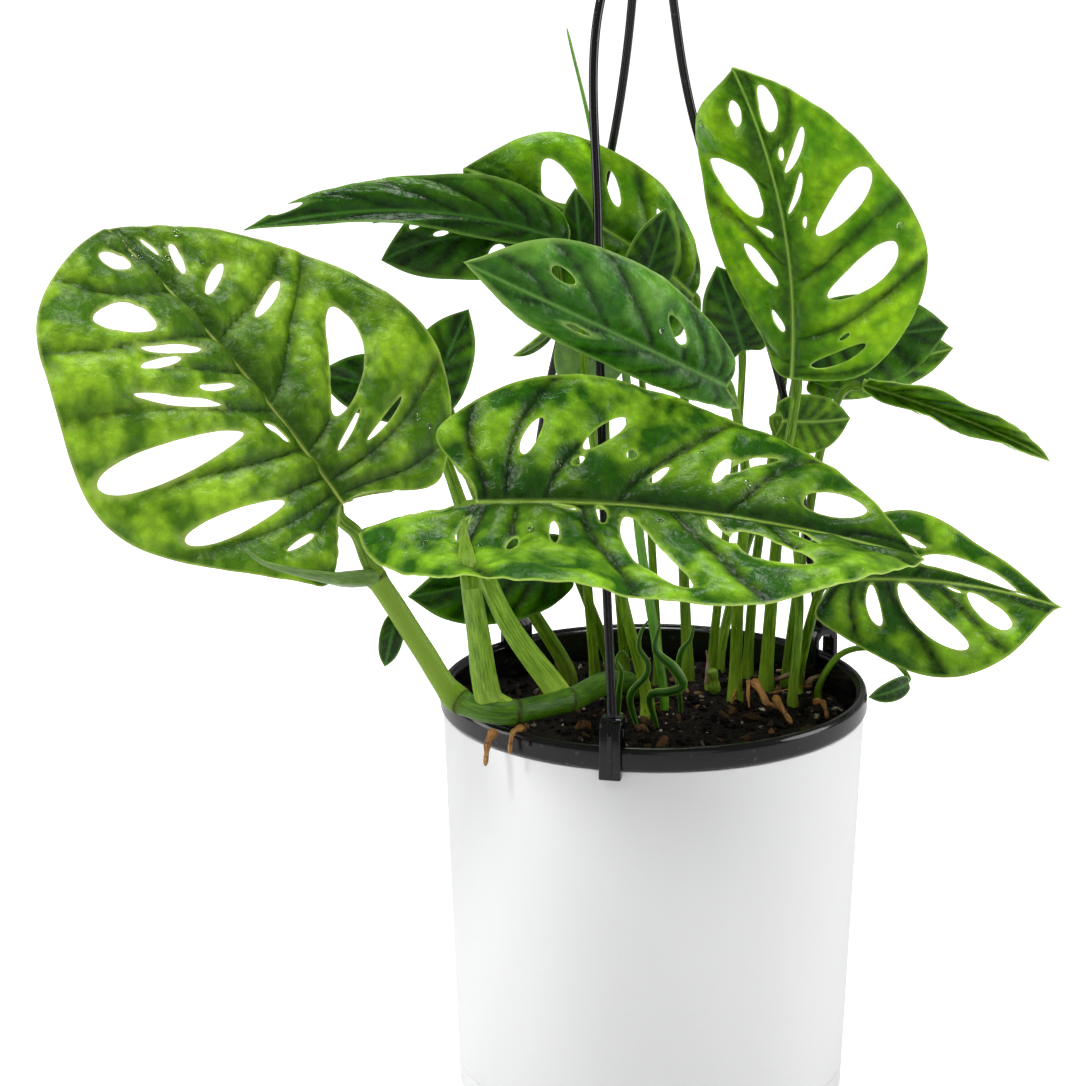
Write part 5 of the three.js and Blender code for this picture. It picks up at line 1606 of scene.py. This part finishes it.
class MONSTERA_OT_hanger(bpy.types.Operator):
    """Makes the three strands with their rim clips, and the head with its hook"""

    bl_idname = "monstera.hanger"
    bl_label = "Hanger"

    def execute(self, context):
        colours = context.scene.monstera_colours
        black = black_plastic(colours)
        wire = context.scene.monstera_sizes.strand_radius / MM
        head_x, head_y = HEAD_PLACE
        head_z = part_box("hanger_hook")[0].z / MM
        model = self.clip()
        for name, spec in STRANDS.items():
            turn = math.radians(spec["around"] - 90)
            piece = model.copy()
            piece.data = model.data.copy()
            piece.name = f"strand_{name}"
            link(piece)
            piece.data.transform(Matrix.Rotation(turn, 4, "Z"))
            middle = (CLIP_INNER + CLIP_OUTER) / 2
            arch = POT_HEIGHT / MM + CLIP_ARCH
            foot = np.array([middle * math.cos(turn), middle * math.sin(turn), arch - 3.2])
            end = math.radians(spec["end"])
            head = np.array([head_x + 4.2 * math.cos(end), head_y + 4.2 * math.sin(end), head_z + 1.5])
            points = [foot] + [place(p) for p in spec["bow"]] + [head]

            def reach(u, angle):
                r = wire * (1 + 1.1 * math.exp(-u / 0.012)) * np.ones_like(angle)
                return r, r

            strand = tube("run", points, reach, steps=90, sides=16)
            join_into(piece, strand)
            piece.data.materials.clear()
            piece.data.materials.append(black)
            smooth_shading(piece, 40)
            keep(piece, "black_plastic", f"hanger_strand_{name}")
        bpy.data.objects.remove(model)
        top = head_z + 13
        head = turned("hanger_head", rounded([
            (0, head_z), (7, head_z), (7, head_z + 5), (4.6, head_z + 8), (3.1, top), (0, top),
        ], 1.0, 4), 64)
        head.data.transform(Matrix.Translation((head_x * MM, head_y * MM, 0)))
        bend = top + 16
        way = [(head_x, head_y, top - 3), (head_x, head_y, top + 4), (head_x, head_y, bend - 5)]
        for k in range(13):
            a = math.pi - k / 12 * math.radians(215)
            way.append((head_x + 11 * (1 + math.cos(a)), head_y, bend + 11 * math.sin(a)))
        hook = tube("hook", way, lambda u, a: (2.1 + 0 * a, 2.1 + 0 * a), steps=90, sides=18)
        join_into(head, hook)
        head.data.materials.clear()
        head.data.materials.append(black)
        smooth_shading(head, 40)
        keep(head, "black_plastic", "hanger_hook")
        return {"FINISHED"}

    def clip(self):
        """The clip that straddles the rim, pointing along +X: outer plate with a foot under the
        band, arch over the rim, inner leg, and a rib down the plate."""
        under = POT_HEIGHT / MM - 8.3
        arch = POT_HEIGHT / MM + CLIP_ARCH
        inner, outer = CLIP_INNER, CLIP_OUTER
        foot_in = body_radius(under) + 0.3
        leg_end = POT_HEIGHT / MM - 6
        plate = extruded("clip", [
            (foot_in, under - 2.4), (outer + 2, under - 2.4), (outer + 2, arch - 4),
            (outer + 0.9, arch - 1.2),
            (outer - 0.8, arch), (inner + 0.8, arch), (inner - 0.9, arch - 1.2), (inner - 2, arch - 4),
            (inner - 2, leg_end), (inner, leg_end), (inner, arch - 5), (inner + 1.4, arch - 3),
            (outer - 1.4, arch - 3), (outer, arch - 5), (outer, under), (foot_in, under),
        ], 7.4, 0.45)
        for vertex in plate.data.vertices:
            height = vertex.co.z / MM
            waist = 0.9 + 0.1 * min(1, abs(height - (arch - 7)) / 9)
            vertex.co.y *= waist
        rib = extruded("rib", [
            (outer + 1.8, under - 1.6), (outer + 2.5, under - 1.2), (outer + 2.5, arch - 5),
            (outer + 1.8, arch - 4),
        ], 1.6, 0.3)
        return join_into(plate, rib)


class MONSTERA_OT_leaves(bpy.types.Operator):
    """Grows every leaf blade with its holes, quilting and ribs"""

    bl_idname = "monstera.leaves"
    bl_label = "Leaves"

    def execute(self, context):
        sizes = context.scene.monstera_sizes
        for name, leaf in LEAVES.items():
            blade(name, leaf, sizes, leaf_materials(leaf["finish"]))
        return {"FINISHED"}


class MONSTERA_OT_stems(bpy.types.Operator):
    """Grows the creeping vine and the leaf stalks with their sheaths"""

    bl_idname = "monstera.stems"
    bl_label = "Vine and stalks"

    def execute(self, context):
        dull = dict(specular_ior_level=0.25)
        skin = stem_material("stalk_skin", "3f6a06", "86b024", "a4c040", "5a3b14", **dull)
        broad_skin = stem_material("sheath_skin", "54800c", "9cc440", "a4c044", "6b4a1e", 0.5, **dull)
        vine_skin = stem_material("vine_skin", "2c5204", "5a8a14", "98ba38", "2a1806", **dull)
        for name, spec in STALKS.items():
            points = stalk_points(name)
            if name in SHEATHED:
                reach = strap_reach(spec["foot"], spec["neck"], *SHEATHED[name])
                stalk = tube(f"stem_{name}", points, reach, 80, 48, np.array([0, -1.0, 0.12]), stalk_marks())
            else:
                reach = stalk_reach(spec["foot"], spec["neck"], 0.9)
                stalk = tube(f"stem_{name}", points, reach, 60, 28, None, stalk_marks())
            stalk.data.materials.append(broad_skin if name in SHEATHED or name == "left_big" else skin)
            smooth_shading(stalk, 60)
            keep(stalk, "stalk", f"stalk_{name}")
        tip = ribbon("sheath_tip", [place(p) for p in SHEATH_TIP], SHEATH_TIP_WIDTHS)
        tip.data.materials.append(broad_skin)
        smooth_shading(tip, 60)
        keep(tip, "stalk")
        points = [place(p) for p in VINE]
        rings = [part_of_way(points, place(p)) for p in VINE_NODES]

        def reach(u, angle):
            r = 4.5 - 0.9 * u
            r += sum(0.6 * math.exp(-(((u - at) / 0.013) ** 2)) for at in rings)
            r += 0.8 * math.exp(-(((u - rings[2] - 0.02) / 0.02) ** 2))
            return r * (1 + 0.03 * np.cos(3 * angle)), r * (0.97 + 0.03 * np.cos(3 * angle))

        vine = tube("vine_stem", points, reach, 170, 40, None, stalk_marks(rings, rings[2] + 0.01))
        vine.data.materials.append(vine_skin)
        smooth_shading(vine, 60)
        keep(vine, "stalk", "vine")
        return {"FINISHED"}


class MONSTERA_OT_new_growth(bpy.types.Operator):
    """Makes the rolled new leaves and the roots that show"""

    bl_idname = "monstera.new_growth"
    bl_label = "New leaves and roots"

    def execute(self, context):
        skin = stem_material("new_leaf_skin", "5f8a35", "8fae62", "c7d59a", "5a3b14", coat_weight=0.1)
        bright = stem_material("new_tip_skin", "4f9419", "7fbb35", "a9d060", "5a3b14", coat_weight=0.1)
        for name, spec in ROLLED.items():
            points = [place(p) for p in spec["way"]]
            if "root" in spec:
                x, y = spec["root"]
                points = [np.array([x, y, SOIL_TOP / MM - 3]), np.array([x, y, SOIL_TOP / MM + 5])] + points
            turns = 0.7 if "root" in spec else 0.45
            roll = spiral_leaf(name.replace("new_leaf", "rolled"), points, spec["foot"], spec["neck"], turns)
            roll.data.materials.append(bright if "root" in spec else skin)
            smooth_shading(roll, 40)
            keep(roll, "new_leaf", name)
        skins = {
            "root": stem_material("root_skin", "7a4212", "d09a48", "8a5a20", "2c1606", 0.8),
            "stalk": stem_material("stub_skin", "4a7408", "a4c23c", "6a6a20", "3a230a", 0.4),
            "bud": stem_material("bud_skin", "b08a72", "dcc2a8", "6a4a34", "5a3b24", 0.4),
            "bark": stem_material("twig_skin", "6a4630", "c8a080", "4a3020", "2c1a10", 0.8),
        }
        root_skin = skins["root"]
        for name, spec in ROOTS.items():

            def reach(u, angle):
                r = spec["foot"] + (spec["neck"] - spec["foot"]) * u
                r *= 1 + 0.12 * math.sin(u * 17) + 0.25 * math.exp(-(((u - 0.9) / 0.07) ** 2))
                return r * (1 + 0.08 * np.cos(2 * angle)), r * (1 - 0.08 * np.cos(3 * angle))

            way = [place(p) for p in spec["way"]]
            root = tube(f"aerial_{name}", way, reach, 26, 14, None, stalk_marks((0.4, 0.75)))
            root.data.materials.append(root_skin)
            smooth_shading(root, 60)
            keep(root, "root", name)
        for name, (kind, foot, neck, way) in SPRIGS.items():

            def reach(u, angle):
                r = (foot + (neck - foot) * u) * (1 + 0.16 * math.sin(u * 11 + foot * 9))
                return r * (1 + 0.1 * np.cos(2 * angle)), r * (1 - 0.12 * np.cos(3 * angle))

            sprig = tube(name, [place(p) for p in way], reach, 26, 14, None, stalk_marks((0.35, 0.7)))
            sprig.data.materials.append(skins[kind])
            smooth_shading(sprig, 60)
            keep(sprig, "root" if kind in ("root", "bark") else "stalk")
        fold_skin = stem_material(
            "folded_skin", "1c4a04", "3c7a0c", "b4d060", "5a3b14", specular_ior_level=0.3,
        )
        for name, (way, widths) in FOLDED.items():
            young = ribbon(name, [place(p) for p in way], widths, 0.7)
            young.data.materials.append(fold_skin)
            smooth_shading(young, 60)
            keep(young, "leaf_dark")
        return {"FINISHED"}


class MONSTERA_OT_drops(bpy.types.Operator):
    """Leaves water drops on the big blades"""

    bl_idname = "monstera.drops"
    bl_label = "Water drops"

    def execute(self, context):
        sizes = context.scene.monstera_sizes
        water = water_material()
        context.view_layer.update()
        for name in sorted({d[0] for d in DROPS}):
            leaf = LEAVES[name]
            axes = leaf_axes(leaf)
            under = bpy.data.objects[f"blade_{name}"]
            beads = []
            for _, v, along, size in (d for d in DROPS if d[0] == name):
                normal = Vector(leaf_normals(leaf, axes, v, along))
                above = Vector(leaf_points(leaf, axes, v, along)) * MM + normal * DROP_SEARCH
                found, at, normal, _ = under.ray_cast(above, -normal, distance=2 * DROP_SEARCH)
                if not found:
                    raise RuntimeError(f"no blade under the drop at {v}, {along} on {name}")
                bpy.ops.mesh.primitive_uv_sphere_add(segments=20, ring_count=12, radius=size * MM)
                bead = context.object
                for vertex in bead.data.vertices:
                    if vertex.co.z < 0:
                        vertex.co.z *= 0.25
                    vertex.co.z *= 0.62
                turn = normal.to_track_quat("Z", "Y").to_matrix().to_4x4()
                bead.data.transform(Matrix.Translation(at + normal * 0.12 * size * MM) @ turn)
                beads.append(bead)
            first = beads[0]
            first.name = f"drops_{name}"
            join_into(first, *beads[1:])
            first.data.materials.append(water)
            smooth_shading(first, 80)
            keep(first, "leaf_bright")
        return {"FINISHED"}


class MONSTERA_PT_panel(bpy.types.Panel):
    """Lists the pieces of the plant, with its sizes and colours"""

    bl_idname = "MONSTERA_PT_panel"
    bl_label = "Potted Swiss cheese vine"
    bl_space_type = "VIEW_3D"
    bl_region_type = "UI"
    bl_category = "Monstera"

    def draw(self, context):
        column = self.layout.column()
        for operator in OPERATORS:
            column.operator(operator.bl_idname)
        for group in (context.scene.monstera_sizes, context.scene.monstera_colours):
            for key in type(group).__annotations__:
                column.prop(group, key)


OPERATORS = (
    MONSTERA_OT_stage, MONSTERA_OT_pots, MONSTERA_OT_soil, MONSTERA_OT_hanger,
    MONSTERA_OT_leaves, MONSTERA_OT_stems, MONSTERA_OT_new_growth, MONSTERA_OT_drops,
)
CLASSES = (MonsteraSizes, MonsteraColours, *OPERATORS, MONSTERA_PT_panel)


def register():
    for cls in CLASSES:
        bpy.utils.register_class(cls)
    bpy.types.Scene.monstera_sizes = bpy.props.PointerProperty(type=MonsteraSizes)
    bpy.types.Scene.monstera_colours = bpy.props.PointerProperty(type=MonsteraColours)


def unregister():
    del bpy.types.Scene.monstera_colours
    del bpy.types.Scene.monstera_sizes
    for cls in reversed(CLASSES):
        bpy.utils.unregister_class(cls)


def main():
    register()
    for obj in list(bpy.context.selected_objects):
        obj.select_set(False)
    bpy.ops.monstera.stage()
    bpy.ops.monstera.pots()
    bpy.ops.monstera.soil()
    bpy.ops.monstera.hanger()
    bpy.ops.monstera.leaves()
    bpy.ops.monstera.stems()
    bpy.ops.monstera.new_growth()
    bpy.ops.monstera.drops()


if __name__ == "__main__":
    main()
